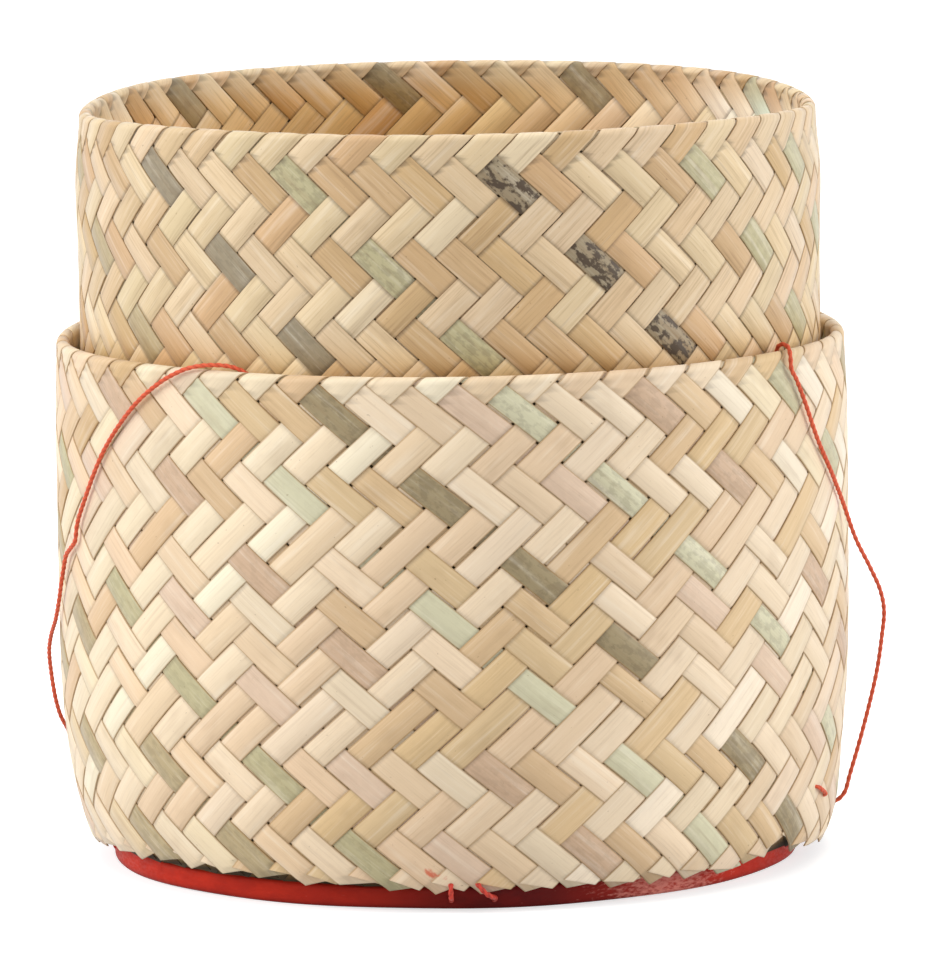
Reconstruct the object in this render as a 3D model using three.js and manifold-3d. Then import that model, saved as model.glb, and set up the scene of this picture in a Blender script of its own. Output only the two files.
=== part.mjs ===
// A two-part basket for cooked sticky rice, woven from split bamboo, with one half nested in the other.
// Each half is a woven tube doubled back on itself at the rim, so its wall has two layers, closed by a
// round woven mat and standing on a bent hoop that thread is lashed to it. The wider half stands on the
// floor, the narrower one stands inside it with its open mouth up. A thin carrying cord is knotted
// through the wider half's wall low on both sides and passes over its rim into the gap between the two.
// Millimetres, +Z up. The origin is on the floor, on the axis of both halves, and the front is -Y.
import * as THREE from "three";
import { mergeVertices } from "three/addons/utils/BufferGeometryUtils.js";
import Module from "manifold-3d";

const wasm = await Module();
wasm.setup();

// The wider half, and what sets the narrower one inside it
const outerRadius = 59.1; // outside of the wall
const outerHeight = 78.9; // foot to rim
const innerHeight = 108.3; // foot to rim
const nestingGap = 1.9; // between the two walls, where they stand upright
const innerFlare = 0.5; // how far the narrower half opens towards its rim
const flareHeight = 26; // over this height below the rim

// The wall
const layerThickness = 0.85; // one layer of weave, two strips thick
const foldGap = 0.3; // between the two layers
const wallThickness = 2 * layerThickness + foldGap;
const footInset = 4.46; // how far the wall draws in at its lower edge
const swellHeight = 39.8; // from the lower edge up to the full radius
const swellPower = 3.2; // how suddenly it draws in
const skirtHeight = 3.2; // foot to the lower edge of the outer layer

// The hoop, the mat that lies on it and what clears what
const clearance = 0.3;
const hoopInset = 8.7; // the hoop's outside, inwards from the wall's
const hoopWidth = 2.8;
const hoopHeight = 3.3;
const matThickness = 1.3;

// The thread that lashes hoop, mat and wall together
const threadDiameter = 0.8;
const threadHoleHeight = 1.4; // up the hoop
const lashings = 4;
const firstLashing = 1.5; // degrees from the front

// The carrying cord
const cordDiameter = 0.7;
const knotDiameter = 1.8;
const anchorHeight = 7; // where it goes through the wall
const anchorAngles = { left: -105, right: 86 };
const stitchHeight = 11.4; // of a stitch's middle
const stitchDrop = 1.9; // from its upper end to its lower one
const stitchTurn = 4.2; // degrees round the wall between its ends
const stitchAngles = { left: -121, right: 69.8 };
// The cord's middle line from the left knot to the right one: degrees round from the front, then the
// distance from the axis and the height in millimetres. It goes up the left of the wider half's wall,
// over its rim, hangs in a loop in the front of the gap, comes back over the rim and goes down the
// right, where it stands off the wall.
const cordRoute = [
  [-105, 54.25, 7],
  [-105, 56.6, 7],
  [-104.9, 57.75, 7.6],
  [-104.8, 58.45, 8.8],
  [-103.6, 58.7, 12.4],
  [-100.2, 59.5, 17],
  [-97, 59.95, 19.7],
  [-94.5, 60.3, 22.8],
  [-92, 60.6, 27],
  [-89, 60.7, 30.9],
  [-86, 60.4, 33.7],
  [-81.5, 59.95, 37],
  [-78.5, 59.85, 40.2],
  [-76, 59.85, 43.6],
  [-74.3, 59.85, 46],
  [-73, 59.85, 47.8],
  [-70.6, 59.85, 49.2],
  [-68.5, 59.85, 50.6],
  [-67.6, 59.85, 53],
  [-65, 59.85, 56.6],
  [-58, 59.85, 65.5],
  [-50.2, 59.85, 72.9],
  [-45, 59.85, 76.5],
  [-42.2, 59.8, 78],
  [-39.6, 59.4, 79.1],
  [-36.4, 58.4, 79.65],
  [-33.4, 57.2, 79.4],
  [-31, 56.45, 78.2],
  [-29, 56.15, 75.4],
  [-25.5, 56.15, 69],
  [-18.5, 56.15, 56],
  [-8, 56.15, 45],
  [5, 56.15, 38.7],
  [20, 56.15, 38],
  [35, 56.15, 43.5],
  [47, 56.15, 54],
  [55.5, 56.15, 67],
  [58.05, 56.2, 75.6],
  [57.7, 56.39, 78.26],
  [57.26, 57, 79.26],
  [56.82, 58.1, 79.65],
  [56.38, 59.2, 79.26],
  [55.94, 59.81, 78.26],
  [56.05, 59.92, 76.2],
  [57.4, 59.85, 74.6],
  [60.1, 59.85, 70.5],
  [63.7, 59.85, 65],
  [69, 59.85, 59.3],
  [75, 60, 53.4],
  [78, 61.15, 47.9],
  [80, 62.9, 43.4],
  [81.5, 64.2, 39.7],
  [82.8, 64.6, 36.4],
  [83.6, 64.2, 32.6],
  [84.6, 63.3, 26.9],
  [85.5, 61.15, 18.1],
  [86, 59.15, 11.2],
  [86, 58.2, 8.2],
  [86, 56.8, 7],
  [86, 54.25, 7],
];

// How finely round surfaces are cut
const facets = 60; // round the axis
const swellShares = [0, 0.08, 0.2, 0.38, 0.62, 1]; // levels up the swell
const flareShares = [0, 0.5, 1]; // levels up the flare
const foldSteps = 6; // round the outside of the rim
const foldGapSteps = 2; // round its inside
const threadSides = 6;
const cordSides = 8;
const cordSteps = 2 * (cordRoute.length - 1);
const threadSteps = 12;
const stitchSteps = 4;
const holeSides = 8;
const knotRings = 8;

// Looks
const straw = { color: 0xdcc69c, roughness: 0.62, metalness: 0 };
const tan = { color: 0xcfb382, roughness: 0.64, metalness: 0 };
const redPaint = { color: 0xb42a20, roughness: 0.45, metalness: 0 };
const redThread = { color: 0xc23b28, roughness: 0.85, metalness: 0 };

const outerHalf = {
  name: "outer",
  radius: outerRadius,
  height: outerHeight,
  flare: 0,
  levels: swellLevels(),
  colour: straw,
};
const innerHalf = {
  name: "inner",
  radius: outerRadius - wallThickness - nestingGap,
  height: innerHeight,
  flare: innerFlare,
  levels: [...swellLevels(), ...flareLevels(innerHeight)],
  colour: tan,
};

// Heights of the levels where a wall's profile has its points, from its lower edge up.
function swellLevels() {
  return swellShares.map((share) => skirtHeight + share * swellHeight);
}

function flareLevels(height) {
  const start = foldHeight(height) - flareHeight;
  return flareShares.map((share) => start + share * flareHeight);
}

// The height of the middle of the rim's round fold.
function foldHeight(height) {
  return height - wallThickness / 2;
}

// The outside radius of a half's wall at a height above its foot: drawn in at the foot along a power
// curve, upright in the middle, and opened by the flare along a smooth step.
function wallRadius(half, height) {
  const up = THREE.MathUtils.clamp((height - skirtHeight) / swellHeight, 0, 1);
  const start = foldHeight(half.height) - flareHeight;
  const opened = THREE.MathUtils.smoothstep(height, start, start + flareHeight);
  return half.radius - footInset * (1 - up) ** swellPower + half.flare * opened;
}

// A point at an angle in degrees from the front, a distance from the axis and a height.
function around(angle, radius, height) {
  const turn = THREE.MathUtils.degToRad(angle);
  return new THREE.Vector3(radius * Math.sin(turn), -radius * Math.cos(turn), height);
}

// A profile of [radius, height] points turned round the axis.
function turned(profile, sides = facets) {
  const points = profile.map(([radius, height]) => new THREE.Vector2(radius, height));
  return new THREE.LatheGeometry(points, sides).rotateX(Math.PI / 2);
}

// A closed mesh as a solid that can be cut.
function toSolid(geometry) {
  const bare = geometry.clone();
  for (const name of Object.keys(bare.attributes)) {
    if (name !== "position") bare.deleteAttribute(name);
  }
  const merged = mergeVertices(bare);
  const mesh = new wasm.Mesh({
    numProp: 3,
    vertProperties: new Float32Array(merged.attributes.position.array),
    triVerts: new Uint32Array(merged.index.array),
  });
  return new wasm.Manifold(mesh);
}

function toGeometry(solid) {
  const mesh = solid.getMesh();
  const geometry = new THREE.BufferGeometry();
  geometry.setAttribute("position", new THREE.BufferAttribute(mesh.vertProperties, 3));
  geometry.setIndex(new THREE.BufferAttribute(mesh.triVerts, 1));
  return geometry;
}

// The geometry with a round hole through it for each angle, along the radius there, between two
// distances from the axis.
function pierced(geometry, angles, height, diameter, near, far) {
  let solid = toSolid(geometry);
  for (const angle of angles) {
    const drill = new THREE.CylinderGeometry(diameter / 2, diameter / 2, far - near, holeSides);
    const outwards = around(angle, 1, 0);
    drill.applyQuaternion(
      new THREE.Quaternion().setFromUnitVectors(new THREE.Vector3(0, 1, 0), outwards),
    );
    const middle = around(angle, (near + far) / 2, height);
    drill.translate(middle.x, middle.y, middle.z);
    solid = solid.subtract(toSolid(drill));
  }
  return toGeometry(solid);
}

function named(name, geometry, look) {
  const mesh = new THREE.Mesh(geometry, new THREE.MeshStandardMaterial(look));
  mesh.name = name;
  return mesh;
}

// A curve whose rings are spread evenly from point to point, so they lie closer where the points do.
class PointByPointCurve extends THREE.CatmullRomCurve3 {
  getUtoTmapping(u) {
    return u;
  }
}

// A round thread along a curve.
function strand(curve, diameter, sides, steps) {
  const section = new THREE.Shape();
  for (let side = 0; side < sides; side += 1) {
    const turn = (2 * Math.PI * side) / sides;
    const corner = [Math.cos(turn), Math.sin(turn)].map((share) => (share * diameter) / 2);
    if (side === 0) section.moveTo(...corner);
    else section.lineTo(...corner);
  }
  return new THREE.ExtrudeGeometry(section, { extrudePath: curve, steps, curveSegments: 1 });
}

// The doubled wall: up the outside, over the rim, down the inside to the mat, and back between the
// two layers.
function wallProfile(half) {
  const fold = foldHeight(half.height);
  const outerLevels = [...new Set([...half.levels, fold])];
  const liningEnd = hoopHeight + clearance;
  const innerLevels = [liningEnd, ...outerLevels.filter((level) => level > liningEnd)];
  const face = (levels, inwards) =>
    levels.map((level) => [wallRadius(half, level) - inwards, level]);
  const middle = wallRadius(half, fold) - wallThickness / 2;
  const arc = (radius, steps, from, to) =>
    Array.from({ length: steps - 1 }, (_, step) => {
      const turn = from + ((to - from) * (step + 1)) / steps;
      return [middle + radius * Math.cos(turn), fold + radius * Math.sin(turn)];
    });
  const profile = [
    ...face(outerLevels, 0),
    ...arc(wallThickness / 2, foldSteps, 0, Math.PI),
    ...face(innerLevels, wallThickness).reverse(),
    ...face(innerLevels, wallThickness - layerThickness),
    ...arc(foldGap / 2, foldGapSteps, Math.PI, 0),
    ...face(outerLevels, layerThickness).reverse(),
  ];
  return [...profile, profile[0]];
}

// The outer half's wall has a hole at each end of the cord.
function wall(half, cordAngles) {
  const geometry = turned(wallProfile(half));
  if (cordAngles.length === 0) return named(`${half.name}_wall`, geometry, half.colour);
  const outside = wallRadius(half, anchorHeight);
  const drilled = pierced(
    geometry,
    cordAngles,
    anchorHeight,
    cordDiameter + 2 * clearance,
    outside - wallThickness - layerThickness,
    outside + layerThickness,
  );
  return named(`${half.name}_wall`, drilled, half.colour);
}

function matUnderside() {
  return hoopHeight + clearance;
}

function bottomMat(half) {
  const radius = wallRadius(half, matUnderside()) - wallThickness - clearance;
  const top = matUnderside() + matThickness;
  const profile = [
    [0, matUnderside()],
    [radius, matUnderside()],
    [radius, top],
    [0, top],
  ];
  return named(`${half.name}_bottom_mat`, turned(profile), half.colour);
}

function lashingAngles() {
  return Array.from({ length: lashings }, (_, index) => firstLashing + (index * 360) / lashings);
}

function footHoop(half) {
  const outside = half.radius - hoopInset;
  const inside = outside - hoopWidth;
  const profile = [
    [inside, 0],
    [outside, 0],
    [outside, hoopHeight],
    [inside, hoopHeight],
    [inside, 0],
  ];
  const geometry = pierced(
    turned(profile),
    lashingAngles(),
    threadHoleHeight,
    threadDiameter + 2 * clearance,
    inside - hoopWidth / 2,
    outside + hoopWidth / 2,
  );
  return named(`${half.name}_foot_hoop`, geometry, redPaint);
}

// A stitch of thread: down the hoop's outside, in through its hole and up its inside, with both ends
// against the mat.
function lashing(half, angle, number) {
  const leg = clearance + threadDiameter / 2;
  const outside = half.radius - hoopInset;
  const inside = outside - hoopWidth;
  const bend = threadHoleHeight + threadDiameter;
  const route = [
    [outside + leg, hoopHeight],
    [outside + leg, bend],
    [outside + leg / 2, threadHoleHeight + clearance / 2],
    [outside, threadHoleHeight],
    [inside, threadHoleHeight],
    [inside - leg / 2, threadHoleHeight + clearance / 2],
    [inside - leg, bend],
    [inside - leg, hoopHeight],
  ];
  const curve = new THREE.CatmullRomCurve3(
    route.map(([radius, height]) => around(angle, radius, height)),
  );
  const geometry = strand(curve, threadDiameter, threadSides, threadSteps);
  return named(`${half.name}_lashing_${number}`, geometry, redThread);
}

function basket(half, cordAngles) {
  const group = new THREE.Group();
  group.add(wall(half, cordAngles), bottomMat(half), footHoop(half));
  lashingAngles().forEach((angle, index) => group.add(lashing(half, angle, index + 1)));
  return group;
}

function carryCord() {
  const curve = new PointByPointCurve(cordRoute.map((point) => around(...point)));
  return named("carry_cord", strand(curve, cordDiameter, cordSides, cordSteps), redThread);
}

// The knot that stops each end of the cord inside the wall.
function cordKnot(side) {
  const radius = knotDiameter / 2;
  const lining = wallRadius(outerHalf, anchorHeight) - wallThickness;
  const place = around(anchorAngles[side], lining - clearance - radius, anchorHeight);
  const mesh = named(
    `cord_knot_${side}`,
    new THREE.SphereGeometry(radius, knotRings, knotRings),
    redThread,
  );
  mesh.position.copy(place);
  return mesh;
}

// The short stitch beside each end of the cord, flat against the wall, slanting down towards the side.
function cordStitch(side) {
  const middle = stitchAngles[side];
  const route = [-1, 0, 1].map((way) => {
    const height = stitchHeight - (way * stitchDrop) / 2;
    const radius = wallRadius(outerHalf, height) + clearance + cordDiameter / 2;
    return around(middle + (way * Math.sign(middle) * stitchTurn) / 2, radius, height);
  });
  const curve = new THREE.CatmullRomCurve3(route);
  return named(
    `cord_stitch_${side}`,
    strand(curve, cordDiameter, threadSides, stitchSteps),
    redThread,
  );
}

const riceBox = new THREE.Group();
riceBox.add(basket(outerHalf, Object.values(anchorAngles)));
const nested = basket(innerHalf, []);
nested.position.z = matUnderside() + matThickness + clearance;
riceBox.add(nested);
riceBox.add(carryCord());
for (const side of ["left", "right"]) riceBox.add(cordKnot(side), cordStitch(side));

export default riceBox;
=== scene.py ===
"""The looks of a nested pair of twill-woven bamboo rice baskets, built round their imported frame.

Lengths are in millimetres and angles in degrees in this file, and a piece's mesh is written in metres.
An angle round the axis counts from the front, -Y, towards +X. A half's own height counts from its foot.
"""

import logging
import math
from dataclasses import dataclass, field
from enum import Enum

import bpy
import numpy as np
from mathutils import Matrix, Vector

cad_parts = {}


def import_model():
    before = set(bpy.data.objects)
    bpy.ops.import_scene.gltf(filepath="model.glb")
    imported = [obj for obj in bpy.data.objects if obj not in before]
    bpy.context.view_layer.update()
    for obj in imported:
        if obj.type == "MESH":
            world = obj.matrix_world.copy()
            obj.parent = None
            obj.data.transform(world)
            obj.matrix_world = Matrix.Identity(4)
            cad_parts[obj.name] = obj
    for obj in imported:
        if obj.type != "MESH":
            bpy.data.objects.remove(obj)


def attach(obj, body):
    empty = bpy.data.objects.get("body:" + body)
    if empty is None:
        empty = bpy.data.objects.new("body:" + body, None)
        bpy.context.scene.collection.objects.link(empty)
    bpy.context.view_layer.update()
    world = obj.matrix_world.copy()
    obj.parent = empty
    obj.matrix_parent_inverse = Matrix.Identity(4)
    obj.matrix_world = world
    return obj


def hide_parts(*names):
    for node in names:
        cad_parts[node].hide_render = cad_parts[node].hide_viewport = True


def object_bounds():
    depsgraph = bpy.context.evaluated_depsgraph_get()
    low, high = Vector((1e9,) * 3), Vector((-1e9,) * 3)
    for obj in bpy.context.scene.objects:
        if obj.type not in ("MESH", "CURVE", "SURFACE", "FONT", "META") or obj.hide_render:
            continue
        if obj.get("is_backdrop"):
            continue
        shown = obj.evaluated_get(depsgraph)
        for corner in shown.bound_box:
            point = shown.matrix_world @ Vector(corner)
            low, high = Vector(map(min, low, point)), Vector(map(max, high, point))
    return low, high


LOG = logging.getLogger("rice_box")
MM = 0.001
WIDER_BODY, NARROWER_BODY = "wider_half", "narrower_half"
UPWARDS = np.array([0.0, 0.0, 1.0])
WHITE = (1.0, 1.0, 1.0, 1.0)

Array = np.ndarray
Mesh, Material, Piece = bpy.types.Mesh, bpy.types.Material, bpy.types.Object
NodeTree, Socket = bpy.types.NodeTree, bpy.types.NodeSocket
Rgb = tuple[int, int, int]
# Where a value's ramp begins and ends, and what it gives there
Ramp = tuple[float, float, float, float]


# Colours


def linear(rgb: Array | Rgb) -> Array:
    """Turns screen colours of 0 to 255 into the linear values that shaders take.

    Each share c of 255 becomes c / 12.92 below 0.04045, and ((c + 0.055) / 1.055) to the 2.4 above it.

    Args:
        rgb: one colour or an array of colours, with red, green and blue last.

    Returns:
        The linear colours, in the same shape.
    """
    share = np.asarray(rgb, float) / 255
    return np.where(share < 0.04045, share / 12.92, ((share + 0.055) / 1.055) ** 2.4)


def rgba(rgb: Rgb) -> tuple[float, float, float, float]:
    """One screen colour as a shader socket's value."""
    return (*linear(rgb).tolist(), 1.0)


class StripColour(Enum):
    """What the split bamboo looks like: plain inner wood, or strips that keep some of the stained skin."""

    BONE = (239, 225, 202)
    CREAM = (231, 212, 182)
    PEACH = (226, 201, 168)
    TAN = (214, 185, 146)
    HONEY = (203, 170, 124)
    MUSTARD = (214, 184, 138)
    OLIVE_TAN = (178, 160, 122)
    OLIVE_GREEN = (184, 175, 136)
    DARK_OLIVE = (154, 138, 104)
    GREY_OLIVE = (148, 135, 110)
    SAGE = (192, 185, 150)
    PALE_GREEN = (206, 201, 169)
    PINK = (218, 191, 165)
    PINK_BROWN = (200, 170, 141)
    MOTTLED_GREY = (154, 138, 110)


class Lean(Enum):
    """Which way a strip runs as it is seen from outside: up to the right, or up to the left."""

    RISING = 1
    FALLING = -1


# Plain mesh and curve helpers


def smooth_between(value: Array, start: Array | float, end: Array | float) -> Array:
    """Goes from 0 at start to 1 at end, flat at both: 3 v squared less 2 v cubed, v being the way between."""
    way = np.clip((value - start) / (end - start), 0.0, 1.0)
    return way * way * (3.0 - 2.0 * way)


def off_front(angle: Array, centre: float = 0.0) -> Array:
    """Degrees from a centre to an angle, the short way round."""
    return (angle - centre + 180.0) % 360.0 - 180.0


@dataclass(frozen=True)
class Hill:
    """A smooth hill round an angle: where, how wide and how high."""

    centre: float
    width: float
    peak: float = 1.0

    def at(self, angle: Array) -> Array:
        """The peak times e to the -(distance / width) squared."""
        return self.peak * np.exp(-((off_front(angle, self.centre) / self.width) ** 2))


@dataclass(frozen=True)
class Wave:
    """A wave round the axis: how high, how many to a turn, how it leans with height and where it starts."""

    peak: float
    count: int
    lean: float = 0.0
    start: float = 0.0

    def at(self, angle: Array, level: Array | float = 0.0) -> Array:
        """The peak times the sine of count times the angle, plus lean times the level, plus the start."""
        return self.peak * np.sin(self.count * np.radians(angle) + self.lean * level + self.start)


def total(parts: tuple[Hill | Wave, ...], *place: Array) -> Array:
    """The sum of some hills or waves at a place."""
    return sum(part.at(*place) for part in parts)


def around(angle: Array, radius: Array, height: Array) -> Array:
    """Points from cylinder coordinates: x = r sin a, y = -r cos a, z = height.

    Args:
        angle: degrees from the front.
        radius: distance from the axis.
        height: height over the floor.

    Returns:
        The points, with their three coordinates last.
    """
    turn = np.radians(angle)
    return np.stack(np.broadcast_arrays(radius * np.sin(turn), -radius * np.cos(turn), height), axis=-1)


def loft_faces(rows: int, columns: int, loops: int, flip: bool, capped: bool) -> list[Array]:
    """Faces of closed tubes that each have rows rings of columns points.

    Args:
        rows: rings along each tube.
        columns: points in each ring.
        loops: how many such tubes follow each other in the points.
        flip: turns every face over.
        capped: closes both ends, and joins the last ring to the first if it is false.

    Returns:
        The four-cornered faces, and where they are capped the end faces too.
    """
    row = np.arange(rows - 1 if capped else rows)[:, None]
    column = np.arange(columns)[None, :]
    following, beside = (row + 1) % rows * columns, (column + 1) % columns
    quads = np.stack(
        [row * columns + column, following + column, following + beside, row * columns + beside], axis=-1
    ).reshape(-1, 4)
    start = (np.arange(loops) * rows * columns)[:, None, None]
    groups = [(quads[None] + start).reshape(-1, 4)]
    if capped:
        ring = np.arange(columns)
        first = ring[None, :] + start[:, :, 0]
        last = (rows - 1) * columns + ring[None, ::-1] + start[:, :, 0]
        groups += [first, last]
    return [group[:, ::-1] if flip else group for group in groups]


def fill_mesh(name: str, points: Array, groups: list[Array], smooth: list[Array | bool]) -> Mesh:
    """Makes a mesh from whole arrays.

    Args:
        name: the mesh's name.
        points: the points in millimetres, with their coordinates last.
        groups: arrays of faces, each with one count of corners.
        smooth: for each group whether its faces shade smooth, one value or one for each face.

    Returns:
        The mesh, in metres.
    """
    mesh = bpy.data.meshes.new(name)
    flat = points.reshape(-1, 3)
    mesh.vertices.add(len(flat))
    mesh.vertices.foreach_set("co", (flat * MM).astype(np.float32).ravel())
    corners = np.concatenate([group.ravel() for group in groups])
    counts = np.concatenate([np.full(len(group), group.shape[1]) for group in groups])
    mesh.loops.add(len(corners))
    mesh.loops.foreach_set("vertex_index", corners.astype(np.int32))
    mesh.polygons.add(len(counts))
    mesh.polygons.foreach_set("loop_start", np.concatenate([[0], np.cumsum(counts)[:-1]]).astype(np.int32))
    shading = np.concatenate([np.broadcast_to(flag, len(group)) for flag, group in zip(smooth, groups)])
    mesh.polygons.foreach_set("use_smooth", shading)
    mesh.update(calc_edges=True)
    return mesh


def paint_points(mesh: Mesh, name: str, values: Array) -> None:
    """Writes a value for each point: a number, a vector of three, or a colour of four.

    Args:
        mesh: the mesh that gets the attribute.
        name: what the materials call it.
        values: the values, for each point in the mesh's order.
    """
    flat = values.reshape(len(mesh.vertices), -1).astype(np.float32)
    kinds = {1: ("FLOAT", "value"), 3: ("FLOAT_VECTOR", "vector"), 4: ("FLOAT_COLOR", "color")}
    kind, value_name = kinds[flat.shape[1]]
    mesh.attributes.new(name, kind, "POINT").data.foreach_set(value_name, flat.ravel())


def link_piece(mesh: Mesh, material: Material) -> Piece:
    """Puts a mesh into the scene as a piece at the origin, and reports it.

    Args:
        mesh: the mesh, whose name the piece gets.
        material: its finish.

    Returns:
        The piece.
    """
    piece = bpy.data.objects.new(mesh.name, mesh)
    bpy.context.scene.collection.objects.link(piece)
    mesh.materials.append(material)
    mesh.calc_loop_triangles()
    LOG.info("%s: %d triangles", piece.name, len(mesh.loop_triangles))
    return piece


def dress(mesh: Mesh, material: Material, node: str, body: str) -> Piece:
    """Finishes a piece that stands for one of the frame's nodes.

    Args:
        mesh: its mesh.
        material: its finish.
        node: the node.
        body: the body that it rides on.

    Returns:
        The piece.
    """
    piece = link_piece(mesh, material)
    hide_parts(node)
    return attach(piece, body)


def opaque(colours: Array) -> Array:
    """Linear colours with a fourth value of 1."""
    return np.concatenate([colours, np.ones((*colours.shape[:-1], 1))], axis=-1)


# Shader groups and finishes


class NodeSheet:
    """Adds nodes to a tree and links them, so that a recipe reads from top to bottom."""

    def __init__(self, tree: NodeTree) -> None:
        """Keeps the tree that the nodes go into."""
        self.tree = tree

    def add(self, kind: str, settings: dict | None = None, **inputs: object) -> bpy.types.Node:
        """Adds a node, sets it and feeds its inputs.

        Args:
            kind: the node's type, without the words ShaderNode.
            settings: its properties.
            inputs: a value or an output socket for each input, named with _ for a space, or i and its number.

        Returns:
            The node.
        """
        node = self.tree.nodes.new("ShaderNode" + kind)
        for key, value in (settings or {}).items():
            setattr(node, key, value)
        for key, value in inputs.items():
            numbered = key[0] == "i" and key[1:].isdigit()
            socket = node.inputs[int(key[1:])] if numbered else node.inputs[key.replace("_", " ")]
            if isinstance(value, Socket):
                self.tree.links.new(value, socket)
            else:
                socket.default_value = value
        return node

    def math(self, operation: str, first: object, second: object = 0.0) -> Socket:
        """One sum of two values."""
        return self.add("Math", {"operation": operation}, i0=first, i1=second).outputs[0]

    def ramp(self, value: object, ramp: Ramp) -> Socket:
        """Carries a value smoothly along a ramp, and holds it at both ends."""
        low, high, start, end = ramp
        ends = {"From_Min": low, "From_Max": high, "To_Min": start, "To_Max": end}
        return self.add("MapRange", {"interpolation_type": "SMOOTHSTEP"}, Value=value, **ends).outputs[0]

    def noise(self, place: object, stretch: tuple[float, float, float], detail: float = 2.0) -> Socket:
        """Cloudy noise from 0 to 1 at a place that is stretched first."""
        spread = self.add("VectorMath", {"operation": "MULTIPLY"}, i0=place, i1=stretch).outputs[0]
        return self.add("TexNoise", None, Vector=spread, Scale=1.0, Detail=detail, Roughness=0.6).outputs[0]

    def mix(self, share: object, first: object, second: object) -> Socket:
        """Mixes two colours by a share."""
        return self.add("Mix", {"data_type": "RGBA"}, i0=share, i6=first, i7=second).outputs[2]

    def attribute(self, name: str) -> bpy.types.Node:
        """Reads one of the mesh's attributes."""
        return self.add("Attribute", {"attribute_name": name})


class GroupSheet(NodeSheet):
    """A sheet on a new shader group, which gives a colour, a roughness and a height."""

    OUTPUTS = {"Color": "Color", "Roughness": "Float", "Height": "Float"}

    def __init__(self, name: str, inputs: dict[str, str]) -> None:
        """Starts the group.

        Args:
            name: the group's name.
            inputs: the type of each input socket, Float, Vector or Color.
        """
        super().__init__(bpy.data.node_groups.new(name, "ShaderNodeTree"))
        for way, sockets in (("INPUT", inputs), ("OUTPUT", self.OUTPUTS)):
            for label, kind in sockets.items():
                self.tree.interface.new_socket(label, in_out=way, socket_type="NodeSocket" + kind)
        self.given = self.tree.nodes.new("NodeGroupInput").outputs
        self.result = self.tree.nodes.new("NodeGroupOutput").inputs

    def give(self, *values: Socket) -> NodeTree:
        """Links the colour, the roughness and the height to the outputs, and hands the group over."""
        for label, value in zip(self.OUTPUTS, values):
            self.tree.links.new(value, self.result[label])
        return self.tree


class MaterialSheet(NodeSheet):
    """A sheet on a new material that has the one usual shader."""

    def __init__(self, name: str) -> None:
        """Starts the material.

        Args:
            name: its name.
        """
        self.material = bpy.data.materials.new(name)
        self.material.use_nodes = True
        super().__init__(self.material.node_tree)
        self.shader = self.tree.nodes["Principled BSDF"].inputs

    def feed(self, group: bpy.types.Node, strength: float, relief: float, specular: float) -> None:
        """Feeds the shader from a group.

        Args:
            group: the node, which gives a colour, a roughness and a height.
            strength: how strongly the height shows.
            relief: the height's full depth in millimetres.
            specular: the shader's specular level.
        """
        bump = self.add("Bump", None, Strength=strength, Distance=relief * MM, Height=group.outputs["Height"])
        self.tree.links.new(group.outputs["Color"], self.shader["Base Color"])
        self.tree.links.new(group.outputs["Roughness"], self.shader["Roughness"])
        self.tree.links.new(bump.outputs[0], self.shader["Normal"])
        self.shader["Specular IOR Level"].default_value = specular


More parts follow.
